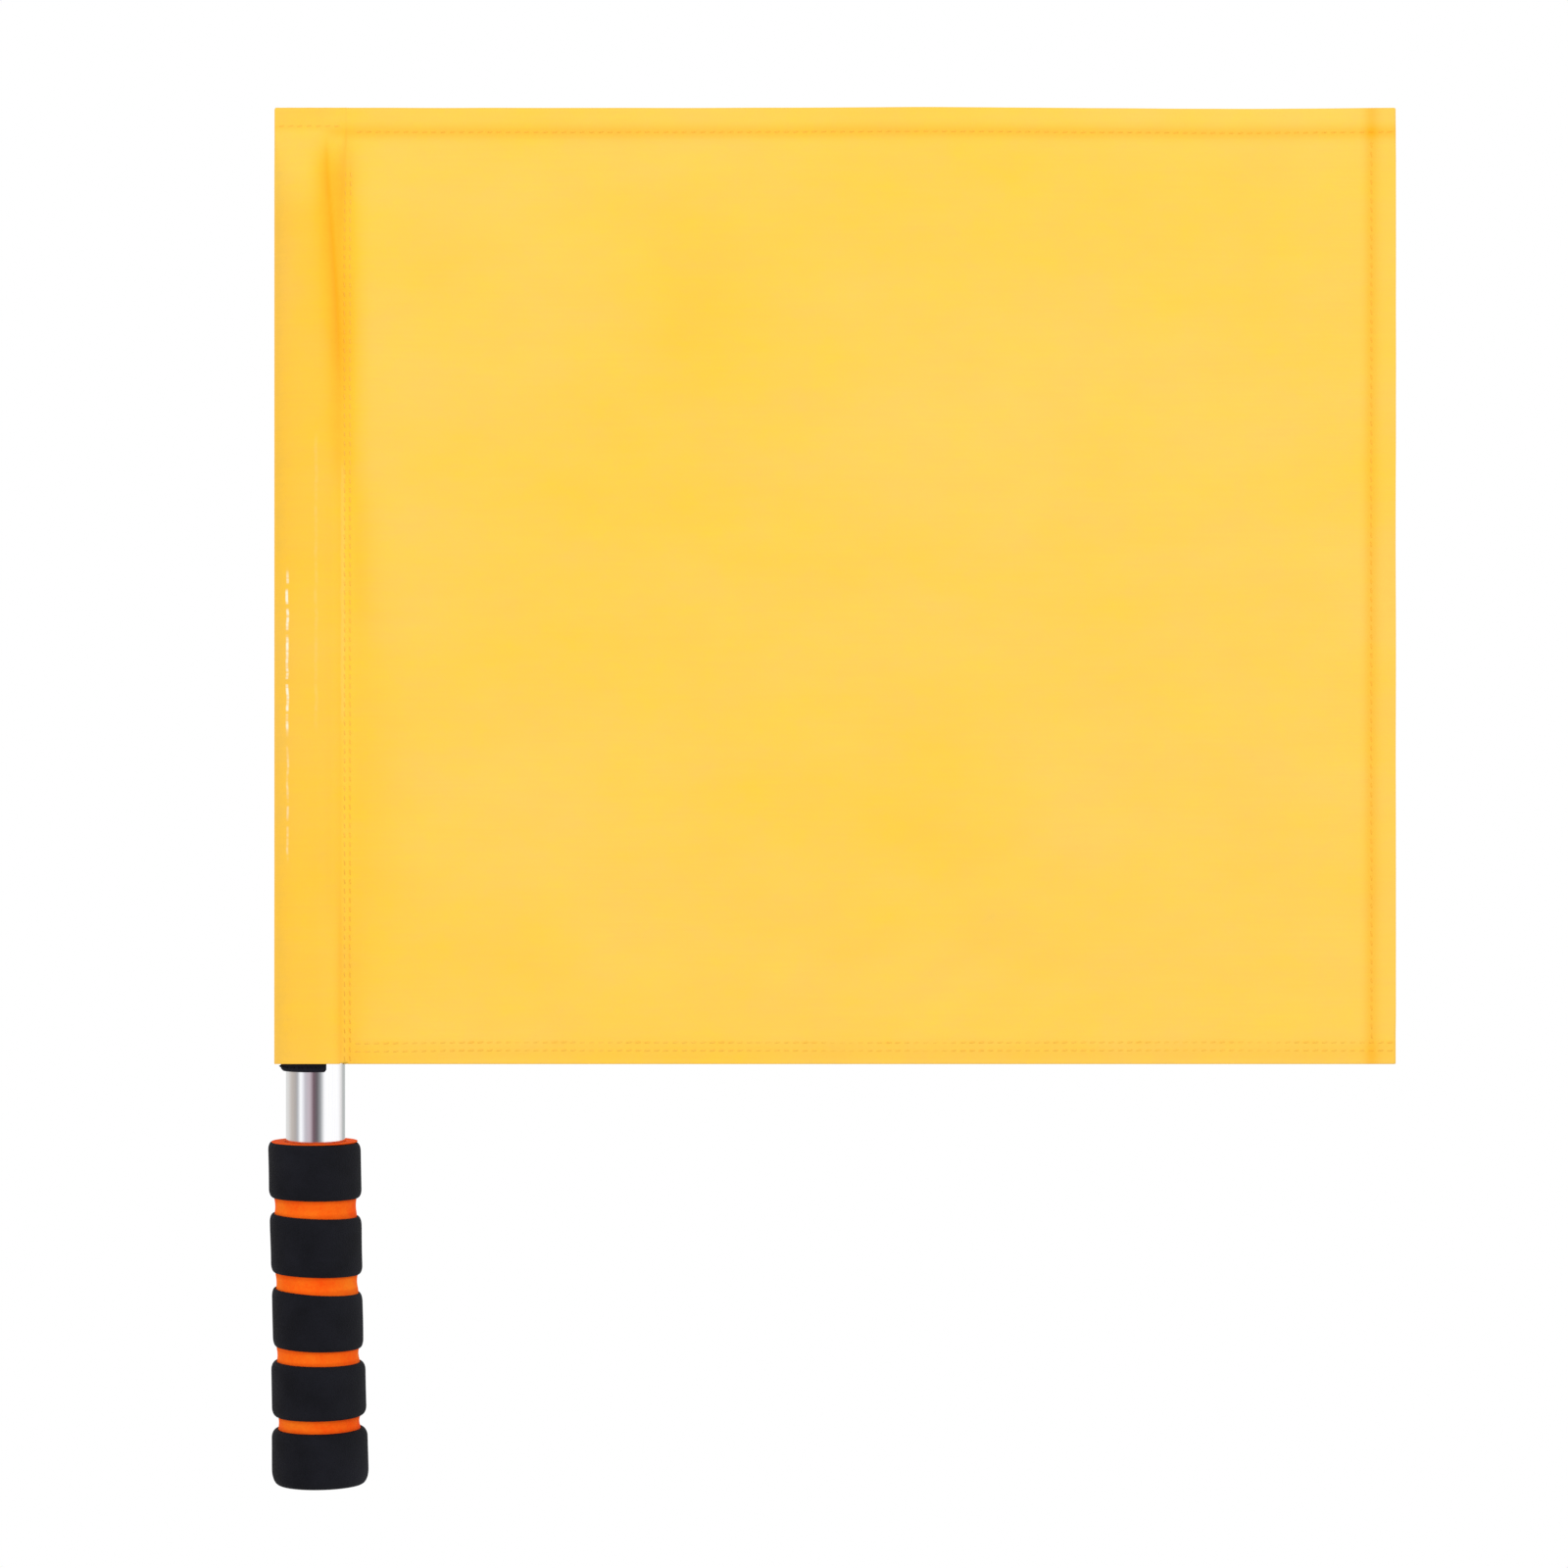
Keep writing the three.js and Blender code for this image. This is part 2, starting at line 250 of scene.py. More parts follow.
def grid_faces(index, flip=False):
    """Four-sided faces between neighbours in a grid of point numbers. flip turns them over."""
    corners = [index[:-1, :-1], index[1:, :-1], index[1:, 1:], index[:-1, 1:]]
    if flip:
        corners[1:] = corners[:0:-1]
    return np.stack(corners, axis=2).reshape(-1, 4).tolist()


def turned(name, outline, material, segments=96, shape=None):
    """Turns a closed outline of (radius, height) about the pole. shape takes r, angle and z to x, y and z."""
    count = len(outline)
    angle = np.linspace(0, math.tau, segments, endpoint=False)
    r, angle = np.meshgrid([r for r, _ in outline], angle)
    z = np.broadcast_to([z for _, z in outline], r.shape)
    points = np.stack(shape(r, angle, z) if shape else (r * np.cos(angle), r * np.sin(angle), z), axis=2)
    index = np.arange(segments * count).reshape(segments, count)
    faces = grid_faces(np.pad(index, (0, 1), "wrap"))
    return make_piece(name, points.reshape(-1, 3), faces, material)


def tube_faces(start, rings, sides):
    """Faces of a closed tube made of rings of points, numbered from start."""
    index = start + np.arange(rings * sides).reshape(rings, sides)
    faces = grid_faces(np.pad(index, ((0, 0), (0, 1)), "wrap"), flip=True)
    return faces + [index[0, ::-1].tolist(), index[-1].tolist()]


def ring_points(centre, first, second, sides):
    """Points of an ellipse round a centre, from its two half axes."""
    turns = [math.tau * k / sides for k in range(sides)]
    return [centre + first * math.cos(turn) + second * math.sin(turn) for turn in turns]


def finish_piece(piece, body, slot, *nodes):
    """Hides the parts that the piece replaces and puts it on its body; without one, its place goes into its
    mesh.
    """
    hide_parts(*nodes)
    if body:
        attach(piece, body)
    else:
        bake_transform(piece)


# --- Camera, world and lights: their places and sizes are in metres ---

CAMERA_LENS = 90
CAMERA_SENSOR = 36
CAMERA_OFFSET = Vector((-0.0153, -1.267, 0.0036))

AMBIENT = 0.785
REFLECTION_STRENGTH = 1.15
# Studio seen in the bare tube: direction in degrees from the front towards +X, and the colour there
STUDIO_BANDS = (
    (-180, (0.66, 0.67, 0.67)),
    (-128, (0.70, 0.69, 0.67)),
    (-98, (0.52, 0.47, 0.43)),
    (-76, (0.42, 0.39, 0.37)),
    (-67, (0.45, 0.45, 0.47)),
    (-54, (0.98, 1.0, 1.0)),
    (-46, (0.86, 0.86, 0.89)),
    (-35, (0.56, 0.54, 0.58)),
    (-14, (0.50, 0.42, 0.46)),
    (-1, (0.16, 0.10, 0.12)),
    (13, (0.13, 0.115, 0.125)),
    (26, (0.33, 0.34, 0.35)),
    (43, (1.0, 1.0, 1.0)),
    (104, (1.0, 1.0, 1.0)),
    (122, (0.80, 0.78, 0.77)),
    (138, (0.50, 0.51, 0.50)),
    (152, (0.44, 0.46, 0.45)),
    (180, (0.58, 0.60, 0.59)),
)


def add_camera():
    data = bpy.data.cameras.new("camera")
    data.lens = CAMERA_LENS
    data.sensor_width = CAMERA_SENSOR
    camera = add_object("camera", data)
    camera.location = (cad_low + cad_high) / 2 + CAMERA_OFFSET
    camera.rotation_euler = (math.radians(90), 0, 0)
    bpy.context.scene.camera = camera


class Graph:
    """Short ways to add nodes to a tree and join them."""

    def __init__(self, tree):
        self.tree = tree

    def put(self, socket, value):
        if isinstance(value, bpy.types.NodeSocket):
            self.tree.links.new(value, socket)
        elif socket.type == "RGBA":
            socket.default_value = (*value, 1)
        else:
            socket.default_value = value

    def add(self, kind, inputs, **settings):
        """A new node with its settings and what goes into its sockets."""
        node = self.tree.nodes.new(kind)
        for name, value in settings.items():
            setattr(node, name, value)
        for name, value in inputs.items():
            self.put(node.inputs[name], value)
        return node.outputs

    def place(self, kind="Object"):
        """The piece's own coordinates, or another kind."""
        return self.add("ShaderNodeTexCoord", {})[kind]

    def named(self, name, output="Fac"):
        """The values that the mesh has under a name."""
        return self.add("ShaderNodeAttribute", {}, attribute_name=name)[output]

    def axes(self, vector):
        return self.add("ShaderNodeSeparateXYZ", {0: vector})

    def math(self, operation, *values):
        return self.add("ShaderNodeMath", dict(enumerate(values)), operation=operation)[0]

    def line(self, value, slope, start):
        """slope * value + start."""
        return self.math("MULTIPLY_ADD", value, slope, start)

    def product(self, first, *others):
        for other in others:
            first = self.math("MULTIPLY", first, other)
        return first

    def mix(self, share, first, second, blend_type="MIX"):
        inputs = {"Factor": share, "A": first, "B": second}
        return self.add("ShaderNodeMix", inputs, data_type="RGBA", blend_type=blend_type)["Result"]

    def noise(self, vector, scale, detail=2.0, roughness=0.5, stretch=None):
        if stretch:
            vector = self.add("ShaderNodeMapping", {"Vector": vector, "Scale": stretch})["Vector"]
        inputs = {"Vector": vector, "Scale": scale, "Detail": detail, "Roughness": roughness}
        return self.add("ShaderNodeTexNoise", inputs)["Fac"]

    def ramp(self, value, stops):
        node = self.tree.nodes.new("ShaderNodeValToRGB")
        self.put(node.inputs["Fac"], value)
        elements = node.color_ramp.elements
        while len(elements) < len(stops):
            elements.new(0.5)
        for element, (place, color) in zip(elements, stops):
            element.position = place
            element.color = (*color, 1)
        return node.outputs["Color"]

    def window(self, value, start, end, fade):
        """1 where the value is between start and end, fading to 0 outside them."""
        sides = []
        for low, high in ((start - fade, start), (end + fade, end)):
            inputs = {"Value": value, "From Min": low, "From Max": high}
            sides.append(self.add("ShaderNodeMapRange", inputs, interpolation_type="SMOOTHSTEP")["Result"])
        return self.product(*sides)

    def bump(self, height, distance, strength=1.0, below=None):
        inputs = {"Height": height, "Distance": distance, "Strength": strength}
        if below:
            inputs["Normal"] = below
        return self.add("ShaderNodeBump", inputs)["Normal"]

    def background(self, color, strength=1.0):
        return self.add("ShaderNodeBackground", {"Color": color, "Strength": strength})[0]

    def mix_shaders(self, share, first, second):
        return self.add("ShaderNodeMixShader", {0: share, 1: first, 2: second})[0]


def add_world():
    """White to the eye, soft and even on the cloth, and banded like a studio in the bare metal."""
    world = bpy.data.worlds.new("studio")
    world.use_nodes = True
    bpy.context.scene.world = world
    world.node_tree.nodes.clear()
    graph = Graph(world.node_tree)
    direction = graph.axes(graph.place("Generated"))
    front = graph.product(direction["Y"], -1)
    share = graph.line(graph.math("ARCTAN2", direction["X"], front), 1 / math.tau, 0.5)
    bands = graph.ramp(share, [(degrees / 360 + 0.5, color) for degrees, color in STUDIO_BANDS])
    rays = graph.add("ShaderNodeLightPath", {})
    even, banded = graph.background(WHITE, AMBIENT), graph.background(bands, REFLECTION_STRENGTH)
    lit = graph.mix_shaders(rays["Is Glossy Ray"], even, banded)
    final = graph.mix_shaders(rays["Is Camera Ray"], lit, graph.background(WHITE))
    graph.add("ShaderNodeOutputWorld", {"Surface": final})


def add_light(name, place, size, power):
    data = bpy.data.lights.new(name, "AREA")
    data.size = size
    data.energy = power
    light = add_object(name, data)
    light.location = place
    aim = (cad_low + cad_high) / 2 - light.location
    light.rotation_euler = aim.to_track_quat("-Z", "Y").to_euler()
    light.visible_glossy = False
    light.visible_camera = False


add_camera()
add_world()
add_light("key", (0.9, -1.2, 1.25), 1.1, 8.2)
add_light("fill", (-1.2, -1.35, 0.4), 1.4, 6.9)
add_light("back", (-0.6, 1.7, 0.8), 1.4, 19)
bpy.context.scene.view_settings.view_transform = "Standard"


# --- Materials ---

def new_material(name, color, roughness, specular=0.5, metallic=0.0):
    material = bpy.data.materials.new(name)
    material.use_nodes = True
    shader = material.node_tree.nodes["Principled BSDF"]
    graph = Graph(material.node_tree)
    graph.put(shader.inputs["Base Color"], color)
    shader.inputs["Roughness"].default_value = roughness
    shader.inputs["Specular IOR Level"].default_value = specular
    shader.inputs["Metallic"].default_value = metallic
    return material, shader, graph


def join(graph, shader, color, normal, roughness=None):
    """Joins a material's patterns to its shader."""
    graph.put(shader.inputs["Base Color"], color)
    graph.put(shader.inputs["Normal"], normal)
    if roughness:
        graph.put(shader.inputs["Roughness"], roughness)


def dimmed(color, share):
    return [share * part for part in color]


CLOTH_COLOR = (0.98, 0.612, 0.112)
CLOTH_WARM = (0.98, 0.60, 0.05)
CLOTH_IN_PAINTED_SHADE = (0.98, 0.435, 0.008)
CLOTH_HIGHLIGHT = (1.0, 0.93, 0.72)
THREAD_DARK = (0.96, 0.575, 0.078)
THREAD_LIGHT = (0.98, 0.61, 0.096)
THREAD_SEAM_DARKENING = (0.80, 0.40, 0.01)
STEEL_DARK = (0.80, 0.80, 0.82)
STEEL_LIGHT = (0.93, 0.93, 0.94)
PLASTIC_DARK = (0.015, 0.015, 0.017)
PLASTIC_LIGHT = (0.028, 0.028, 0.03)
WEAVE_PITCH = 0.27
STREAK_WANDER = 1.2
STREAK_FADE = 0.4
STREAK_END_FADE = 6
# Painted highlight streaks on the sleeve's front: x, half width, lowest and highest z, and how strong the
# dashes and an even line under them are
PAINTED_HIGHLIGHT_STREAKS = (
    (-8.0, 0.22, 246, 290, 0.95, 0),
    (-7.9, 0.15, 206, 234, 0.35, 0),
    (1.4, 0.3, 248, 334, 0.04, 0.02),
    (9.3, 0.4, 250, 325, 0, 0.05),
)


def cloth_material():
    """Plain-woven yellow cloth with slubs and a faint mottle, painted shade and painted light, and painted
    highlight streaks.
    """
    material, shader, graph = new_material("yellow_cloth", CLOTH_COLOR, 0.85, specular=0.12)
    shader.inputs["Sheen Weight"].default_value = 0.05
    shader.inputs["Sheen Roughness"].default_value = 0.5
    flat = graph.add("ShaderNodeUVMap", {}, uv_map="flat_cloth")["UV"]
    across = graph.axes(flat)
    per_thread = math.pi / (WEAVE_PITCH * MM)
    weave = graph.product(*[graph.math("SINE", graph.product(across[axis], per_thread)) for axis in "XY"])
    crossings = graph.math("ABSOLUTE", weave)
    slubs = graph.noise(flat, 1, 3, 0.6, (28, 900, 1))
    mottle = graph.noise(flat, 1, 5, 0.85, (34, 52, 1))
    # The seam valley's painted light brightens it, along with the slubs, mottle and weave
    brightness = graph.product(
        graph.line(slubs, 0.045, 0.977), graph.line(mottle, 0.18, 0.91), graph.line(crossings, 0.14, 0.95),
        graph.line(graph.named("ironed"), 0.055, 1))
    stain = graph.noise(flat, 1, 4, 0.6, (9, 16, 1))
    stain = graph.line(stain, 1.7, graph.line(mottle, 1.2, -1.27))
    color = graph.mix(graph.math("ADD", graph.named("warmth"), stain), CLOTH_COLOR, CLOTH_WARM)
    # Painted shade deepens the colour where the mesh's shade value is high
    color = graph.mix(graph.named("shade"), color, CLOTH_IN_PAINTED_SHADE)
    color = graph.mix(1.0, color, brightness, "MULTIPLY")

    # Painted highlights along streaks placed on the cloth's front
    front = graph.axes(graph.named("front_place", "Vector"))
    dashes = graph.window(graph.noise(flat, 1, 3, 0.6, (0, 260, 1)), 0.6, 2, 0.22)
    wander = graph.noise(flat, 1, 2, 0.5, (0, 150, 1))
    streak_x = graph.math("ADD", front["X"], graph.line(wander, STREAK_WANDER, -STREAK_WANDER / 2))
    for x, half_width, low, high, dashed, even in PAINTED_HIGHLIGHT_STREAKS:
        share = graph.product(
            graph.window(streak_x, x - half_width, x + half_width, STREAK_FADE),
            graph.window(front["Z"], low, high, STREAK_END_FADE), graph.line(dashes, dashed, even))
        color = graph.mix(share, color, CLOTH_HIGHLIGHT)
    join(graph, shader, color, graph.bump(slubs, 0.05 * MM, 0.6, below=graph.bump(weave, 0.02 * MM, 0.6)))
    return material


def thread_material():
    """Twisted sewing thread, a shade deeper than the cloth, with the cloth's painted shade and darker patches
    low on the seam.
    """
    material, shader, graph = new_material("yellow_thread", (0.95, 0.57, 0.085), 0.7, specular=0.2)
    inputs = {"Vector": graph.place(), "Scale": 1100, "Distortion": 0.6}
    twist = graph.add("ShaderNodeTexWave", inputs, bands_direction="DIAGONAL")["Fac"]
    color = graph.mix(twist, THREAD_DARK, THREAD_LIGHT)
    # The cloth's painted shade, laid on the thread too
    color = graph.mix(graph.named("shade"), color, CLOTH_IN_PAINTED_SHADE)
    # Darker in uneven patches low on the seam's rows
    color = graph.mix(graph.named("soiled"), color, THREAD_SEAM_DARKENING)
    join(graph, shader, color, graph.bump(twist, 0.04 * MM))
    return material


def foam_material(name, dark, light, cell, relief, specular):
    """Closed-cell foam with fine cells and soft patches, and painted shade in the corners beside the bands,
    where it is also pressed.
    """
    material, shader, graph = new_material(name, light, 0.8, specular)
    place = graph.place()
    inputs = {"Vector": place, "Scale": 1 / (cell * MM)}
    cells = graph.add("ShaderNodeTexVoronoi", inputs, feature="SMOOTH_F1")["Distance"]
    grain = graph.noise(place, 900, 4, 0.65)
    patches = graph.noise(place, 90, 3, 0.5)
    color = graph.mix(graph.line(grain, 0.8, graph.line(patches, 2.2, -1.0)), dark, light)
    # Painted shade in the corners beside the bands
    color = graph.mix(graph.product(graph.named("pressed"), 0.5), color, dimmed(dark, 0.6))
    normal = graph.bump(cells, relief * MM, 0.7)
    join(graph, shader, color, graph.bump(patches, 0.5 * MM, 0.25, below=normal))
    return material


def steel_material():
    """Polished stainless tube with fine draw lines along its length."""
    material, shader, graph = new_material("stainless_tube", (0.86, 0.86, 0.88), 0.1, metallic=1.0)
    place = graph.place()
    lines = graph.noise(place, 2600, 3, 0.6, (1, 1, 0.012))
    smears = graph.noise(place, 120, 3, 0.5, (1, 1, 0.3))
    color = graph.mix(lines, STEEL_DARK, STEEL_LIGHT)
    join(graph, shader, color, graph.bump(lines, 0.01 * MM, 0.35), graph.line(smears, 0.1, 0.06))
    return material


def plastic_material():
    """Black moulded plastic with a fine matt texture."""
    material, shader, graph = new_material("plug_plastic", (0.02, 0.02, 0.022), 0.45)
    grain = graph.noise(graph.place(), 1800, 3, 0.6)
    color = graph.mix(grain, PLASTIC_DARK, PLASTIC_LIGHT)
    join(graph, shader, color, graph.bump(grain, 0.03 * MM, 0.5), graph.line(grain, 0.25, 0.35))
    return material


def tape_material(name, color, fuzz):
    """Black nylon tape, with painted shade darkening it between its hooks or loops."""
    material, shader, graph = new_material(name, color, 0.9, specular=0.15)
    pile = graph.noise(graph.place(), fuzz, 5, 0.75)
    join(graph, shader, graph.mix(pile, dimmed(color, 0.5), color), graph.bump(pile, 0.25 * MM, 0.8))
    return material


yellow_cloth = cloth_material()
yellow_thread = thread_material()
black_foam = foam_material("black_foam", (0.0042, 0.0045, 0.0068), (0.0088, 0.0092, 0.0138), 0.5, 0.3, 0.15)
orange_foam = foam_material("orange_foam", (0.97, 0.07, 0.001), (1.0, 0.195, 0.008), 0.5, 0.15, 0.08)
stainless = steel_material()
black_plastic = plastic_material()
hook_nylon = tape_material("hook_tape", (0.012, 0.013, 0.02), 900)
loop_nylon = tape_material("loop_tape", (0.02, 0.021, 0.03), 2200)


# --- Pole and plugs ---

def add_tube():
    chamfer = 0.2
    inner, outer = TUBE_RADIUS - TUBE_WALL, TUBE_RADIUS
    low, high = tube_low.z, tube_high.z
    end = [(inner, chamfer), (inner + chamfer, 0), (outer - chamfer, 0), (outer, chamfer)]
    outline = [(r, low + z) for r, z in end] + [(r, high - z) for r, z in reversed(end)]
    tube = turned("steel_tube", outline, stainless, segments=160)
    tube.data.set_sharp_from_angle(angle=math.radians(30))
    finish_piece(tube, "pole", "stainless_tube", "pole_tube")


def plug_outline(low, high, head_round):
    """A cup-shaped plug, outer face at height 0: a rounded head, a ribbed stem and a hollow."""
    head = high.z - low.z - PLUG_STEM
    end = head + PLUG_STEM
    stem = TUBE_RADIUS - TUBE_WALL - 0.1
    root = stem - RIB_DEPTH
    bore = stem - PLUG_WALL
    outline = [(0.001, 0), *arc(TUBE_RADIUS - head_round, head_round, head_round, -90, 0, 12)]
    outline += [(TUBE_RADIUS, head - 0.1), (TUBE_RADIUS - 0.1, head), (root, head)]
    for i in range(PLUG_RIBS):
        base = head + 1.4 + i * (PLUG_STEM - 3) / PLUG_RIBS
        outline += [(root, base), (stem, base + 0.5), (stem, base + 0.9), (root, base + 1.5)]
    floor = head + PLUG_WALL
    outline += [(stem - 0.5, end - 0.8), (stem - 1.1, end), (bore, end), (bore, floor + 0.8)]
    return outline + arc(bore - 0.8, floor + 0.8, 0.8, 0, -90, 5) + [(0.001, floor)]


def add_plugs():
    bottom = plug_outline(bottom_plug_low, bottom_plug_high, BOTTOM_PLUG_ROUND)
    top = plug_outline(top_plug_low, top_plug_high, TOP_PLUG_ROUND)
    for end, outline in (("bottom", bottom), ("top", [(r, PLUG_TOP - z) for r, z in reversed(top)])):
        plug = turned(f"{end}_plug_moulded", outline, black_plastic)
        plug.data.set_sharp_from_angle(angle=math.radians(40))
        finish_piece(plug, "pole", "plug_plastic", f"{end}_plug")


# --- Grip ---

grip_middle = (core_low.z + core_high.z) / 2
grip_bore = TUBE_RADIUS + 0.1


def lean(z):
    """How far the foam's outside stands off the pole's axis, towards +X, at a height."""
    return GRIP_LEAN_MIDDLE - GRIP_LEAN * (z - grip_middle) / (core_high.z - core_low.z)


def leaning(seed, bore, outside, lumps, tilt=None):
    """A shape for turned(): the bore stays on the axis while the outside leans and is slightly lumpy."""
    def shape(r, angle, z):
        cosine, sine = np.cos(angle), np.sin(angle)
        share = np.clip((r - bore) / (outside - bore), 0, 1)
        radius = r + share * lumps * ripple(12 * cosine + 0.6 * z, 12 * sine + 0.35 * z, seed, 9, 30, 9)
        lifted = z + tilt(z) * r * cosine if tilt else z
        return radius * cosine + share * lean(z), radius * sine, lifted
    return shape


def add_core():
    outer = core_high.x
    bands = [node_box(f"grip_band_{i + 1}") for i in range(BAND_COUNT)]
    outline = [(grip_bore, core_low.z), (outer, core_low.z)]
    for below, above in zip(bands[:0:-1], bands[-2::-1]):
        bottom, top = below[1].z, above[0].z
        outline += [(outer, bottom - 2.5), (outer, bottom - 0.4)]
        for i in range(1, GROOVE_STEPS):
            share = i / GROOVE_STEPS
            outline += [(outer - GROOVE_DEPTH * math.sin(math.pi * share), bottom + (top - bottom) * share)]
        outline += [(outer, top + 0.4)]
    edge = 0.8
    half_rim = RIM_GAP / 2
    outline += [(outer, core_high.z - 3 * half_rim)]
    outline += arc(outer + RIM_LIP - half_rim, core_high.z - half_rim, half_rim, -60, 90, 6)
    outline += arc(grip_bore + edge, core_high.z - edge, edge, 90, 180, 5)
    shape = leaning(CORE_SEED, grip_bore, outer, 0.06)
    core = turned("foam_core", refined(outline, 2.0), orange_foam, shape=shape)
    z = np.array([vertex.co.z for vertex in core.data.vertices]) / MM
    beside = np.min([np.abs(z - corner.z) for band in bands for corner in band], axis=0)
    # Painted shade for the corners beside the bands
    add_values(core.data, pressed=fade(beside, 0.1, 1.4))
    finish_piece(core, "pole", "orange_foam", "grip_core")


def add_band(number):
    low, high = node_box(f"grip_band_{number}")
    radius = (high.x - low.x) / 2 - BAND_TRIMS[number - 1]
    bore = core_high.x + 0.1
    crest = high.z - (RIM_GAP if number == 1 else 0)
    edge = radius - bore - 0.1
    top = BAND_EDGE_HEIGHT
    bottom = LAST_EDGE_HEIGHT if number == BAND_COUNT else BAND_EDGE_HEIGHT
    outline = [(bore, low.z), *arc(radius - edge, low.z + bottom, edge, -90, 0, 10, bottom)]
    outline += arc(radius - edge, crest - top, edge, 0, 90, 10, top)
    outline += [(bore, crest)]
    tilts = (BAND_BOTTOM_TILTS[number - 1], BAND_TOP_TILTS[number - 1])
    bottom_tilt, top_tilt = (math.tan(math.radians(tilt)) for tilt in tilts)

    def tilt(z):
        share = (z - low.z) / (high.z - low.z)
        return -(bottom_tilt + (top_tilt - bottom_tilt) * share)

    shape = leaning(BAND_SEED + number, grip_bore, core_high.x, 0.09, tilt)
    band = turned(f"foam_band_{number}", refined(outline, 1.3), black_foam, shape=shape)
    finish_piece(band, "pole", "black_foam", f"grip_band_{number}")


# --- Hook-and-loop closure ---

TAPE_START = math.radians(110)
TAPE_SWEEP = math.radians(186)
HOOK_GROUND = 0.75
HOOK_CORNER = 0.8
LOOP_CORNER = 2.0
LOOP_FUZZ = 0.12


def tape_body(inner, outer, low, high, corner, columns=60, rows=40):
    """Points and faces of a curved strip with rounded corners: its inner skin, its outer skin and its rim."""
    across, up = np.meshgrid(np.linspace(0, 1, columns), np.linspace(0, 1, rows))
    width = TAPE_SWEEP * (inner + outer) / 2
    from_side = np.minimum(across, 1 - across) * width
    from_end = np.minimum(up, 1 - up) * (high - low)
    short = np.clip(corner - from_side, 0, corner)
    inset = corner - np.sqrt(np.clip(corner ** 2 - short ** 2, 0, None))
    middle = (low + high) / 2
    z = low + (high - low) * up
    z = middle + (z - middle) * (1 - 2 * inset / (high - low))
    angle = TAPE_START + TAPE_SWEEP * across
    rim = np.clip(np.minimum(from_side, from_end) / 0.3, 0, 1)
    thickness = (outer - inner) * (0.6 + 0.4 * np.sqrt(rim))
    skins = []
    for radius in (np.full_like(angle, inner), inner + thickness):
        skins.append(np.stack([radius * np.cos(angle), radius * np.sin(angle), z], axis=2).reshape(-1, 3))
    size = columns * rows
    index = np.arange(size).reshape(rows, columns)
    faces = grid_faces(index, flip=True) + grid_faces(index + size)
    rim_path = np.concatenate([index[0], index[1:, -1], index[-1, -2::-1], index[-2:0:-1, 0]]).tolist()
    for a, b in zip(rim_path, rim_path[1:] + rim_path[:1]):
        faces.append((a, a + size, b + size, b))
    return np.concatenate(skins), faces


HOOK_PITCH = 1.5
HOOK_WIRE = 0.16
HOOK_RINGS = 6
HOOK_SIDES = 5
HOOK_BEND = 0.36
HOOK_TURN = math.radians(200)


def add_hooks(points, faces, base, tip, low, high):
    """Rows of small bent wires standing on the tape, each leaning its own way."""
    draw = np.random.default_rng(7)
    points = list(points)
    columns = int(TAPE_SWEEP * base / HOOK_PITCH)
    height = tip - base
    bend = height * HOOK_BEND
    up = np.array([0, 0, 1])
    for row in range(int((high - low - 2) / HOOK_PITCH)):
        for column in range(1, columns):
            faces += tube_faces(len(points), HOOK_RINGS, HOOK_SIDES)
            angle = TAPE_START + TAPE_SWEEP * (column + 0.5 * (row % 2)) / (columns + 0.5)
            lean_way = draw.uniform(-0.5, 0.5) + (math.pi if (row + column) % 2 else 0)
            out = np.array([math.cos(angle), math.sin(angle), 0])
            along = np.array([-math.sin(angle), math.cos(angle), 0])
            side = along * math.cos(lean_way) + up * math.sin(lean_way)
            across = np.cross(out, side)
            foot = out * base + up * (low + 1.4 + row * HOOK_PITCH)
            for ring in range(HOOK_RINGS):
                turn = HOOK_TURN * max(0, ring - 1) / (HOOK_RINGS - 2)
                stand = (height - bend) * min(1, ring) + bend * math.sin(turn)
                centre = foot + out * stand + side * bend * (1 - math.cos(turn))
                normal = np.cross(across, out * math.cos(turn) + side * math.sin(turn))
                points += ring_points(centre, across * HOOK_WIRE, normal * HOOK_WIRE, HOOK_SIDES)
    return np.array(points), faces


def add_tapes():
    inner, outer = TUBE_RADIUS + 0.1, -hook_low.x
    base = inner + HOOK_GROUND * (outer - inner)
    points, faces = tape_body(inner, base, hook_low.z, hook_high.z, HOOK_CORNER)
    points, faces = add_hooks(points, faces, base, outer, hook_low.z, hook_high.z)
    hook = make_piece("hook_tape_wrapped", points, faces, hook_nylon)
    finish_piece(hook, "pole", "hook_tape", "hook_patch")

    inner, outer = -loop_low.x - 0.8, -loop_low.x - 0.1
    points, faces = tape_body(inner, outer, loop_low.z, loop_high.z, LOOP_CORNER)
    radius = np.hypot(points[:, 0], points[:, 1])
    inside = radius < inner + 0.05
    fuzz = LOOP_FUZZ * ripple(points[:, 1] * 3, points[:, 2] * 3, 5, 20, 9, 3)
    points[inside, :2] *= (1 + (fuzz / radius)[inside, None])
    loop = make_piece("loop_tape_sewn", points, faces, loop_nylon)
    finish_piece(loop, "sleeve", "loop_tape", "loop_patch")


# --- Cloth ---

half_cloth = CLOTH_THICKNESS / 2
bottom_edge = FLAG_BOTTOM + half_cloth
top_edge = FLAG_TOP - half_cloth
fly_limit = FLY_EDGE - half_cloth


def stepped(*stretches):
    """Places along a line, from stretches of (start, end, step). The last end is included."""
    places = []
    for start, end, step in stretches:
        count = max(1, round((end - start) / step))
        places += [start + (end - start) * i / count for i in range(count)]
    return places + [stretches[-1][1]]


def seam_angle(z):
    return SEAM_DIRECTION * fade(z, SEAM_LIFT_START, ROOF_END)


def flatness(z):
    """0 where the sleeve is open round the tube, and 1 where it is closed flat above it."""
    share = (z - ROOF_START) / (ROOF_END - ROOF_START) / ROOF_SOFTNESS
    return ROOF_SOFTNESS * (np.logaddexp(0, share) - np.logaddexp(0, share - 1 / ROOF_SOFTNESS))


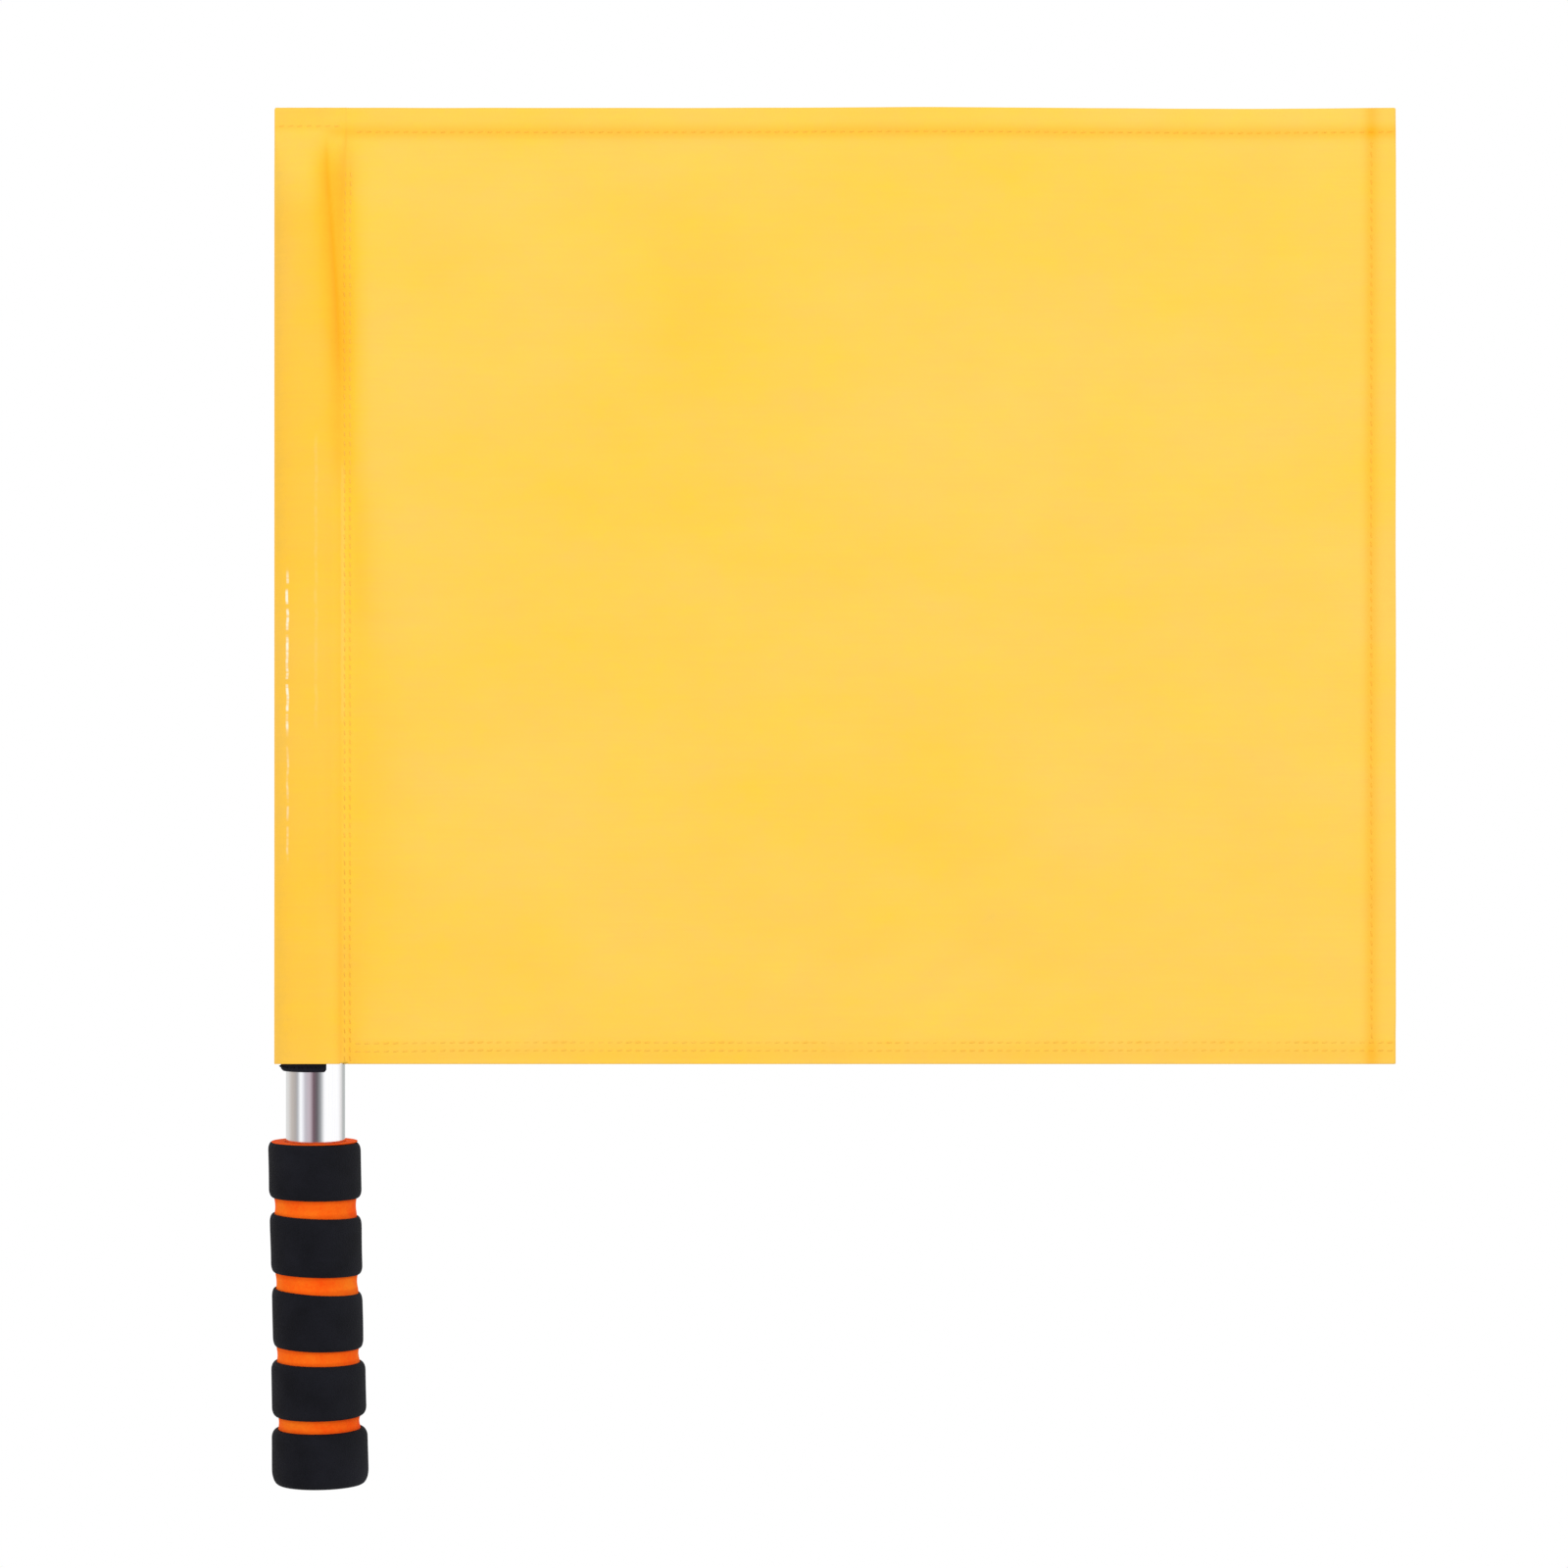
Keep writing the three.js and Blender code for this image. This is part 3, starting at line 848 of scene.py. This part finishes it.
def sleeve_radius(angle, z):
    cosine, sine = np.cos(angle), np.sin(angle)
    wide = np.where(cosine < 0, SLEEVE_LEFT, SLEEVE_RIGHT)
    deep = np.where(sine < 0, SLEEVE_FRONT, SLEEVE_BACK)
    oval = 1 / np.sqrt((cosine / wide) ** 2 + (sine / deep) ** 2)
    turn = np.abs(np.arctan2(np.sin(angle - HUG_DIRECTION), np.cos(angle - HUG_DIRECTION)))
    over_tape = SLEEVE_RIGHT + (SLEEVE_LEFT - SLEEVE_RIGHT) * rise(turn, HUG_END, STAND_OUT)
    loose = rise(z, TAPE_ZONE_TOP, TAPE_ZONE_TOP + TAPE_ZONE_FADE)
    return over_tape + (oval - over_tape) * loose


def sleeve_plan(angle, z):
    """Where the sleeve's cloth is, seen from above, in a direction from the pole's axis."""
    radius = sleeve_radius(angle, z)
    flat = flatness(z)
    side = np.tanh(np.sin(angle) / 0.12)
    gap = np.where(side > 0, 0.25, 0.3)
    x = radius * np.cos(angle)
    y = radius * np.sin(angle) * (1 - flat) + side * gap * flat
    gathers = 0.12 * np.sin(math.tau * x / 5.7 + 0.8) * bell(z, ROOF_END, 9)
    return x, y + gathers * rise(z, ROOF_START - 8, ROOF_START + 6)


def seam_place(z):
    return sleeve_plan(seam_angle(z) - 1e-3, z)


def bottom_puckers(x):
    """Even puckers along the bottom hem, from -1 to 1."""
    return np.cos(math.tau * x / BOTTOM_PUCKER_PITCH + 0.7)


def panel_depth(x, z):
    """Depth of the panel: the seam's stand-off, the slow wave, and shallow folds and puckers."""
    along = np.clip((x - SEAM_EDGE_X) / (FLY_EDGE - SEAM_EDGE_X), 0, 1)
    depth = seam_place(z)[1] * fade(x, SEAM_EDGE_X, SETTLED_X)
    depth += WAVE_DEPTH * along * np.sin(math.tau * WAVE_COUNT * along)
    free = rise(x, 14, 50)
    depth += 0.5 * free * ripple(x, z, 11, 14, 190, 60)
    depth += 0.12 * free * ripple(x, z, 12, 16, 55, 22)
    # A slanting fold near the top, and a few slanting ripples low on the panel
    slant = x - (100 + 0.25 * (419 - z))
    depth += 0.55 * bell(slant, 0, 6) * bell(z, 378, 50)
    diagonal = (x - 204) * 0.62 - (z - 168) * 0.78
    depth += 0.3 * np.sin(math.tau * diagonal / 21) * bell(x, 204, 55) * bell(z, 166, 30)
    puckers = 0.16 * bottom_puckers(x) * bell(z, BOTTOM_ROWS[1] + 1.5, 4)
    puckers += 0.08 * np.cos(math.tau * x / 19) * bell(z, TOP_ROW - 1, 4)
    return depth + puckers * rise(x, 14, 30)


def hem_rows():
    """Rows of a hem, from its tucked end to the cloth's edge.

    A row lies at distance + stretch * turn from its edge and offset * turn behind the cloth, where turn is
    the radius of the fold at that edge.
    """
    rows = [(HEM_WIDTH - HEM_TUCK, 0, 1, "tuck"), (HEM_WIDTH - HEM_TUCK / 2, 0, 1, "tuck")]
    for i in range(4, 0, -1):
        turn = math.pi * i / 4
        rows.append((HEM_WIDTH, -0.5 + 0.5 * math.sin(turn), 1.5 + 0.5 * math.cos(turn), "tuck"))
    rows += [(HEM_WIDTH * t, 1 - 1.5 * t, 2, "layer") for t in np.linspace(1, 0, 7)]
    for i in range(TURN_STEPS - 1, 0, -1):
        turn = math.pi * i / TURN_STEPS
        rows.append((0, 1 - math.sin(turn), 1 - math.cos(turn), "layer"))
    return rows


EDGE_ZONE = 12
EDGE_STEP = 0.85
ROW_STEP = 3.4
ROOF_STEP = 0.95


def row_table():
    """All rows, as hem_rows() says, with whether each counts from the top before its kind."""
    low, high = ([(*row[:3], from_top, row[3]) for row in hem_rows()] for from_top in (False, True))
    height = top_edge - bottom_edge
    roof = top_edge - ROOF_START + 8
    up = stepped((0, EDGE_ZONE, EDGE_STEP), (EDGE_ZONE, height - roof, ROW_STEP))
    down = stepped((0, EDGE_ZONE, EDGE_STEP), (EDGE_ZONE, roof, ROOF_STEP))[:-1]
    main = [(place, max(0, 1 - place / 3), 0, False, "main") for place in up]
    main += [(place, max(0, 1 - place / 3), 0, True, "main") for place in reversed(down)]
    return low + main + high[::-1]


def column_layout():
    """The panel columns' x, and the fly edge columns' distances from the edge."""
    panel = stepped((flap_end, 18, 0.62), (18, 34, 1.3), (34, 70, 2.4), (70, fly_limit - EDGE_ZONE, 3.7))[:-1]
    return np.array(panel), np.array(stepped((0, EDGE_ZONE, EDGE_STEP))[::-1])


def build_cloth():
    """The sheet's points on a grid of rows up and columns along, and which of the grid's squares exist.

    Then come the rows' kinds, the first column on the front, and the columns of the panel and the fly edge.
    The columns run from the flap behind the panel round the pole, through the seam, along the panel and round
    the fly edge to the hem behind it.
    """
    rows = row_table()
    panel, from_fly = column_layout()
    counts = [FLAP_COLUMNS, LOOP_COLUMNS, SEAM_COLUMNS, len(panel), len(from_fly), TURN_STEPS, FLY_COLUMNS]
    ends = np.cumsum(counts)
    parts = [slice(end - count, end) for count, end in zip(counts, ends)]
    flap, loop, seam, open_panel, fly, fly_turn, fly_layer = parts
    columns = ends[-1]
    *measures, kinds = zip(*rows)
    distance, stretch, offset, from_top = (np.array(values)[:, None] for values in measures)

    # The turn's radius at each column's bottom and top edge
    bottom_turn = np.full(columns, PANEL_TURN)
    bottom_turn[flap] = 0
    bottom_turn[loop] = SLEEVE_TURN
    top_turn = np.full(columns, PANEL_TURN)
    top_turn[seam] = CLOSED_TOP_TURN
    opening = rise(panel, flap_end + 1, 22)
    top_turn[open_panel] = CLOSED_TOP_TURN + (PANEL_TURN - CLOSED_TOP_TURN) * opening
    loop_share = np.linspace(0, 1, LOOP_COLUMNS)
    loop_turn = LOOP_FIRST + (math.tau - LOOP_FIRST - LOOP_LAST) * loop_share
    front_side = loop_turn > LOOP_FRONT
    top_turn[loop] = np.where(front_side, CLOSED_TOP_TURN, 0)
    turn = np.where(from_top, top_turn, bottom_turn)
    reach = distance + stretch * turn
    z = np.where(from_top, top_edge - reach, bottom_edge + reach)
    behind = offset * turn

    # Cloth that is inside the closed top ends a little below the fold over it
    inside = np.zeros(columns, bool)
    inside[flap] = True
    inside[loop] = ~front_side
    z = np.where(inside, np.minimum(z, top_edge - INSIDE_DROP), z)

    # Where the cloth itself lies, seen from above
    x, y = np.zeros((2, len(rows), columns))
    seam_x, seam_y = seam_place(z)
    share = np.linspace(0, 1, FLAP_COLUMNS)
    x[:, flap] = flap_end + (seam_x[:, flap] + 0.5 - flap_end) * share
    y[:, flap] = seam_y[:, flap] + LAYER_GAP
    angle = seam_angle(z[:, loop]) + loop_turn
    x[:, loop], y[:, loop] = sleeve_plan(angle, z[:, loop])
    share = np.linspace(0, 1, SEAM_COLUMNS + 1)[:-1]
    x[:, seam] = seam_x[:, seam] + 0.4 + (flap_end - 0.4 - seam_x[:, seam]) * share
    y[:, seam] = seam_y[:, seam]
    hem_depth = HEM_WIDTH + 0.5
    edge_distance = np.minimum(z[:, fly] - bottom_edge, top_edge - z[:, fly])[:, :1]
    thick = fade(edge_distance, hem_depth, hem_depth + 8)
    fly_radius = FLY_TURN + (FLY_TURN_OVER_HEM - FLY_TURN) * thick
    x[:, open_panel] = panel
    x[:, fly] = fly_limit - from_fly - np.maximum(0, 1 - from_fly / 3) * fly_radius
    inner_radius = fly_radius - behind[:, fly_turn]
    turns = math.pi * np.arange(1, TURN_STEPS + 1) / TURN_STEPS
    x[:, fly_turn] = fly_limit - fly_radius + inner_radius * np.sin(turns)
    back_distance = HEM_WIDTH * np.arange(1, FLY_COLUMNS + 1) / FLY_COLUMNS
    x[:, fly_layer] = fly_limit - np.maximum(back_distance, fly_radius)
    on_panel = slice(open_panel.start, columns)
    y[:, on_panel] = panel_depth(x[:, on_panel], z[:, on_panel])
    behind[:, fly_layer] = 2 * fly_radius - behind[:, fly_layer]
    behind[:, fly_turn] = fly_radius - inner_radius * np.cos(turns)

    # Soften the seam's two bends
    softened = open_panel.start + 10
    weight = np.zeros(columns)
    for middle, width in ((flap.stop, 5), (loop.stop, 8)):
        weight = np.maximum(weight, bell(np.arange(columns), middle, width))
    for _ in range(8):
        for values in (x, y):
            mean = (values[:, :-2] + 2 * values[:, 1:-1] + values[:, 2:]) / 4
            change = (mean - values[:, 1:-1]) * weight[1:-1]
            values[:, 1:softened] += change[:, :softened - 1]

    # Which way is behind: left of the way along the cloth
    along_x, along_y = np.gradient(x, axis=1), np.gradient(y, axis=1)
    turned_back = slice(fly.stop - 1, columns)
    slope = (y[:, fly.stop - 2] - y[:, fly.stop - 4]) / (x[:, fly.stop - 2] - x[:, fly.stop - 4])
    along_x[:, turned_back] = 1
    along_y[:, turned_back] = slope[:, None]
    length = np.hypot(along_x, along_y)
    back_x, back_y = -along_y / length, along_x / length

    front_columns = np.arange(columns)[loop][front_side][0]
    crease = crease_depth(x, z)
    crease[:, :front_columns] = 0
    x = x + back_x * (behind + crease)
    y = y + back_y * (behind + crease)
    clearance = (TUBE_RADIUS + SLEEVE_CLEARANCE) * fade(z[:, loop], PLUG_TOP - 3, PLUG_TOP)
    pushed_out = np.maximum(1, clearance / np.hypot(x[:, loop], y[:, loop]))
    x[:, loop] *= pushed_out
    y[:, loop] *= pushed_out
    z = z - BOTTOM_RISE * y * fade(z, bottom_edge, bottom_edge + 45)
    points = np.stack([x, y, z], axis=2)

    # Hems exist only where the cloth was turned
    has_hem = np.ones(columns, bool)
    has_hem[flap] = False
    has_hem[loop] = (loop_share > 0.02) & (loop_share < 0.97)
    has_hem[seam.start:seam.stop - 3] = False
    has_top_hem = has_hem.copy()
    has_top_hem[loop] = front_side
    has_top_hem[seam] = True
    has_tuck = np.arange(columns) >= open_panel.start + 2
    exists = np.ones((len(rows) - 1, columns - 1), bool)
    for i in range(len(rows) - 1):
        kind = kinds[i] if kinds[i] != "main" else kinds[i + 1]
        there = has_top_hem if from_top[i + 1] else has_hem
        if kind == "tuck":
            there = there & has_tuck
        if kind != "main":
            exists[i] = there[:-1] & there[1:]
    return points, exists, kinds, front_columns, open_panel, fly


CREASE_TOP = 432
CREASE_KINK = 350
CREASE_X_TOP = 4.0
CREASE_X_KINK = 9.0
CREASE_DRIFT = 5.5
# How the crease's band of painted shade deepens as it goes up: share, lowest and highest z
CREASE_STEPS = ((0.3, 262, 295), (0.14, 315, 345), (0.56, 345, 374))
# Where the seam's painted light and painted shade fade out going up
LOWER_SEAM_TOP = 312
LOWER_SEAM_FADE = 22


def crease_line(z):
    """Where the crease runs: from the closed top down to the seam, and as a soft fold across it."""
    down = np.clip((CREASE_TOP - z) / (CREASE_TOP - CREASE_KINK), 0, 1)
    bent = 1.45 * down - 0.45 * down ** 2
    return CREASE_X_TOP + (CREASE_X_KINK - CREASE_X_TOP) * bent + CREASE_DRIFT * rise(-z, -345, -305)


def crease_strength(z):
    return rise(z, 335, 385) * fade(z, CREASE_TOP - 4, CREASE_TOP + 5)


def crease_band(x, z):
    """The soft band of painted shade along the crease, strongest high on the sleeve."""
    off = x - crease_line(z)
    half_width = np.where(off < 0, 4.0, 5.6 - 0.8 * rise(z, 405, 428))
    band = np.exp(-np.abs(off / half_width) ** 1.9)
    strength = sum(share * rise(z, start, end) for share, start, end in CREASE_STEPS)
    return band * strength * fade(z, 422, CREASE_TOP + 6)


def crease_depth(x, z):
    """How far the cloth dips behind itself along the crease, with a soft ridge on each side."""
    off = x - crease_line(z)
    shape = 0.45 * bell(off, 0, 0.8) - 0.25 * bell(off, -2.6, 1.8) - 0.45 * bell(off, 2.8, 1.6)
    return shape * crease_strength(z)


def blotch(x, z):
    """A large soft patch, a little deeper than the cloth round it."""
    return bell(x, 122, 17) * bell(z, 380, 34)


def warming(x, z, front):
    """How much warmer the cloth is: painted shade along the crease, where it lies double, and broad soft
    tones.
    """
    spread = 5 + 14 * fade(z, 170, 340)
    # Where the cloth lies double it is deeper, partly painted shade for the light two layers hold back
    double = (0.4 + 0.2 * rise(z, 290, 330)) * bell(np.maximum(x, 10), 10, spread)
    double *= 1 - 0.7 * rise(z, 408, 430)
    sleeve = fade(x, 2, 10)
    # Warmer over the panel than at the fly end, and cooler in a spot on the sleeve's left
    broad_tone = 0.22 * fade(x, 200, 330) - 0.35 * bell(x, -9, 5) * bell(z, 386, 16)
    faded = 0.15 * blotch(x, z) - 0.25 * bell(x, 68, 18) * bell(z, 386, 30)
    return broad_tone + double * (1 - 0.45 * sleeve) + 0.55 * front * crease_band(x, z) + faded


def pressed_fold(z):
    """1 along the lower part of the seam, where its fold gets painted light and painted shade."""
    return fade(z, LOWER_SEAM_TOP, LOWER_SEAM_TOP + LOWER_SEAM_FADE)


def seam_valley_lightening(x, z, front):
    """Painted light that makes the seam's valley a little lighter, taking back some of the shade in it."""
    return front * rise(x, 5.0, 7.4) * fade(x, 11.2, 14) * pressed_fold(z)


def shading(x, z, front):
    """Painted shade deepening the cloth: round the pole, by the seam, at the hems' lines and along the
    crease.
    """
    sleeve = fade(x, 0, 8)
    beside = 0.04 * (1 - bell(z, 275, 55)) * fade(x, 9, 20)
    beside += 0.13 * bell(x, 16, np.where(x < 16, 7, 12)) * bell(z, 235, 70)
    total = (beside + 0.22 * sleeve) * fade(z, 404, 424) + 0.12 * sleeve * rise(z, 437, 439)
    # Painted shade along the stitched lines of the top, fly and bottom hems
    total += 0.45 * bell(z, TOP_ROW, 2.2) * (1 - sleeve) + 0.2 * bell(z, TOP_ROW + 1.1, 1.0) * sleeve
    total += 0.5 * bell(x, FLY_ROW, 2.2) + 0.07 * rise(x, FLY_ROW, FLY_ROW + 3)
    above_bottom = z - FLAG_BOTTOM
    hem = 0.2 * fade(above_bottom, 2.8, 10) - 0.14 * fade(above_bottom, 0.5, 2.2)
    hem += 0.14 * (0.5 + 0.5 * bottom_puckers(x)) ** 6 * bell(z, BOTTOM_ROWS[1], 0.8)
    # The soft patch adds a little of its own deeper tone
    total += hem * rise(x, 8, 14) + 0.07 * blotch(x, z)
    # Painted shade along the seam fold's two edges, and along the crease
    pressed = 0.12 * bell(x, 8.7, 0.55) + 0.14 * bell(x, 11.5, 0.6)
    crease = 0.55 * crease_band(x, z) + 0.25 * bell(x, crease_line(z), 0.6) * crease_strength(z)
    return np.clip(total + front * (pressed * pressed_fold(z) + crease), 0, 1)


def drop_loose_points(mesh):
    """Removes the points that no face uses."""
    work = bmesh.new()
    work.from_mesh(mesh)
    loose = [vertex for vertex in work.verts if not vertex.link_faces]
    bmesh.ops.delete(work, geom=loose, context="VERTS")
    work.to_mesh(mesh)
    work.free()


def add_cloth():
    """Makes the flag's cloth. Returns the grid of places on its front, for the stitching."""
    points, exists, kinds, front_columns, open_panel, fly = build_cloth()
    row_count, column_count = points.shape[:2]
    steps_along = np.linalg.norm(np.diff(points, axis=1), axis=2).mean(axis=0)
    steps_up = np.linalg.norm(np.diff(points, axis=0), axis=2)[:, open_panel].mean(axis=1)
    along, up = (np.concatenate([[0], np.cumsum(steps)]) for steps in (steps_along, steps_up))
    index = np.arange(row_count * column_count).reshape(row_count, column_count)
    faces = [face for face, there in zip(grid_faces(index, flip=True), exists.ravel()) if there]
    cloth = make_piece("flag_cloth", points.reshape(-1, 3), faces, yellow_cloth)
    mesh = cloth.data
    corners = np.empty(len(mesh.loops), int)
    mesh.loops.foreach_get("vertex_index", corners)
    uv = np.stack([along[corners % column_count], up[corners // column_count]], axis=1) * MM
    mesh.uv_layers.new(name="flat_cloth").data.foreach_set("uv", uv.ravel())
    front = np.zeros((row_count, column_count))
    front[:, front_columns:] = 1
    x, z = points[:, :, 0], points[:, :, 2]
    # The material's warmth, painted shade and the seam valley's painted light
    add_values(mesh, warmth=warming(x, z, front), shade=shading(x, z, front), ironed=seam_valley_lightening(x, z, front))
    front_place = np.stack([x, front, z], axis=2) * front[:, :, None]
    attribute = mesh.attributes.new("front_place", "FLOAT_VECTOR", "POINT")
    attribute.data.foreach_set("vector", front_place.astype(np.float32).ravel())
    drop_loose_points(mesh)
    thicken = cloth.modifiers.new("thickness", "SOLIDIFY")
    thicken.thickness = CLOTH_THICKNESS * MM
    thicken.offset = 0
    thicken.use_even_offset = False
    apply_modifiers(cloth)
    finish_piece(cloth, None, "yellow_cloth", "pole_sleeve", "flag_panel", "top_hem", "bottom_hem", "fly_hem")
    main = [i for i, kind in enumerate(kinds) if kind == "main"]
    return points[main][:, front_columns:fly.stop]


# --- Stitching ---

STITCH_RINGS = 6
STITCH_SIDES = 6
SLOPE_STEP = 0.4


class FrontCloth:
    """Places on the front layer of the cloth, from its grid of rows up and columns along."""

    def __init__(self, grid):
        self.grid = grid
        # Any column gives the rows' heights, as they differ very little along the flag
        self.levels = grid[:, 40, 2]

    def depth(self, x, z):
        level = np.interp(z, self.levels, np.arange(len(self.levels)))
        low = min(int(level), len(self.levels) - 2)
        below, above = (np.interp(x, row[:, 0], row[:, 1]) for row in self.grid[low:low + 2])
        return below + (above - below) * (level - low)

    def place(self, x, z):
        """The point at x and z, and the unit vector out of the cloth's front there."""
        slope_x = self.depth(x + SLOPE_STEP, z) - self.depth(x - SLOPE_STEP, z)
        slope_z = self.depth(x, z + SLOPE_STEP) - self.depth(x, z - SLOPE_STEP)
        out = np.array([slope_x, -2 * SLOPE_STEP, slope_z])
        return np.array([x, self.depth(x, z), z]), out / np.linalg.norm(out)


def stitch_line(points, faces, cloth, start, end, lift):
    """Adds a row of stitches between two (x, z) places, lift in front of the cloth's middle."""
    start, end = np.array(start, float), np.array(end, float)
    length = np.linalg.norm(end - start)
    way = (end - start) / length
    across = np.array([-way[1], way[0]])
    for i in range(int((length + STITCH_PITCH - STITCH_LENGTH) / STITCH_PITCH)):
        faces += tube_faces(len(points), STITCH_RINGS, STITCH_SIDES)
        first = i * STITCH_PITCH + 0.3
        for ring in range(STITCH_RINGS):
            share = ring / (STITCH_RINGS - 1)
            swell = math.sqrt(max(0.0, 1 - (2 * share - 1) ** 4)) * 0.9 + 0.1
            x, z = start + way * (first + STITCH_LENGTH * share) + across * STITCH_SLANT * (share - 0.5)
            middle, out = cloth.place(x, z)
            side = np.cross(out, [way[0], 0, way[1]])
            side *= swell * THREAD_WIDTH / 2 / np.linalg.norm(side)
            centre = middle + out * (lift - math.copysign(0.16 * (1 - swell), lift))
            points += ring_points(centre, side, out * swell * THREAD_HEIGHT / 2, STITCH_SIDES)


def add_stitching(cloth, name, node, front, back, body=None):
    """One row of lockstitch: front is its (start, end) on the front, back its (start, end, lift) behind."""
    surface = half_cloth + 0.01
    points, faces = [], []
    stitch_line(points, faces, cloth, *front, surface)
    stitch_line(points, faces, cloth, back[0], back[1], -(back[2] + surface))
    row = make_piece(name, points, faces, yellow_thread)
    x, _, z = np.array(points).T
    # The seam's rows are darker in uneven patches low down; the thread takes the cloth's painted shade
    uneven = np.clip(0.5 + 0.5 * ripple(x, z, 17, 8, 60, 9), 0, 1)
    soiled = 0.35 * uneven * fade(z, 170, 262) * ("seam" in name)
    add_values(row.data, shade=shading(x, z, 1), soiled=soiled)
    finish_piece(row, body, "yellow_thread", node)


def add_all_stitching(grid):
    cloth = FrontCloth(grid)
    hem_start = flap_end + 0.6
    corner = FLY_EDGE - HEM_WIDTH - 0.6
    first_row, second_row = BOTTOM_ROWS
    hems = (("top_hem", "", TOP_ROW), ("bottom_hem", "_1", first_row), ("bottom_hem", "_2", second_row))
    for hem, number, level in hems:
        front = ((hem_start, level), (FLY_EDGE - 0.8, level))
        back = ((hem_start, level), (corner, level), 2 * PANEL_TURN)
        add_stitching(cloth, f"{hem}{number}_lockstitch", f"{hem}_stitching{number}", front, back)
    front = ((FLY_ROW, second_row + 0.6), (FLY_ROW, TOP_ROW - 0.6))
    back = ((FLY_ROW, FLAG_BOTTOM + HEM_WIDTH + 3), (FLY_ROW, FLAG_TOP - HEM_WIDTH - 3), 2 * FLY_TURN)
    add_stitching(cloth, "fly_hem_lockstitch", "fly_hem_stitching", front, back)
    for number, x in enumerate(SEAM_ROWS, 1):
        seam_end = (x, PLUG_TOP - 1)
        front = ((x, FLAG_BOTTOM + 0.6), seam_end)
        back = ((x, FLAG_BOTTOM + HEM_WIDTH + 1), seam_end, LAYER_GAP)
        name, node = f"seam_lockstitch_{number}", f"sleeve_seam_stitching_{number}"
        add_stitching(cloth, name, node, front, back, "sleeve")
    front = ((-SLEEVE_LEFT + 0.6, CLOSING_ROW), (SLEEVE_RIGHT - 0.2, CLOSING_ROW))
    back = (*front, 2 * CLOSED_TOP_TURN)
    add_stitching(cloth, "closing_lockstitch", "sleeve_top_stitching", front, back, "sleeve")


# --- Assembly ---

add_tube()
add_plugs()
add_core()
for band_number in range(1, BAND_COUNT + 1):
    add_band(band_number)
add_tapes()
add_all_stitching(add_cloth())
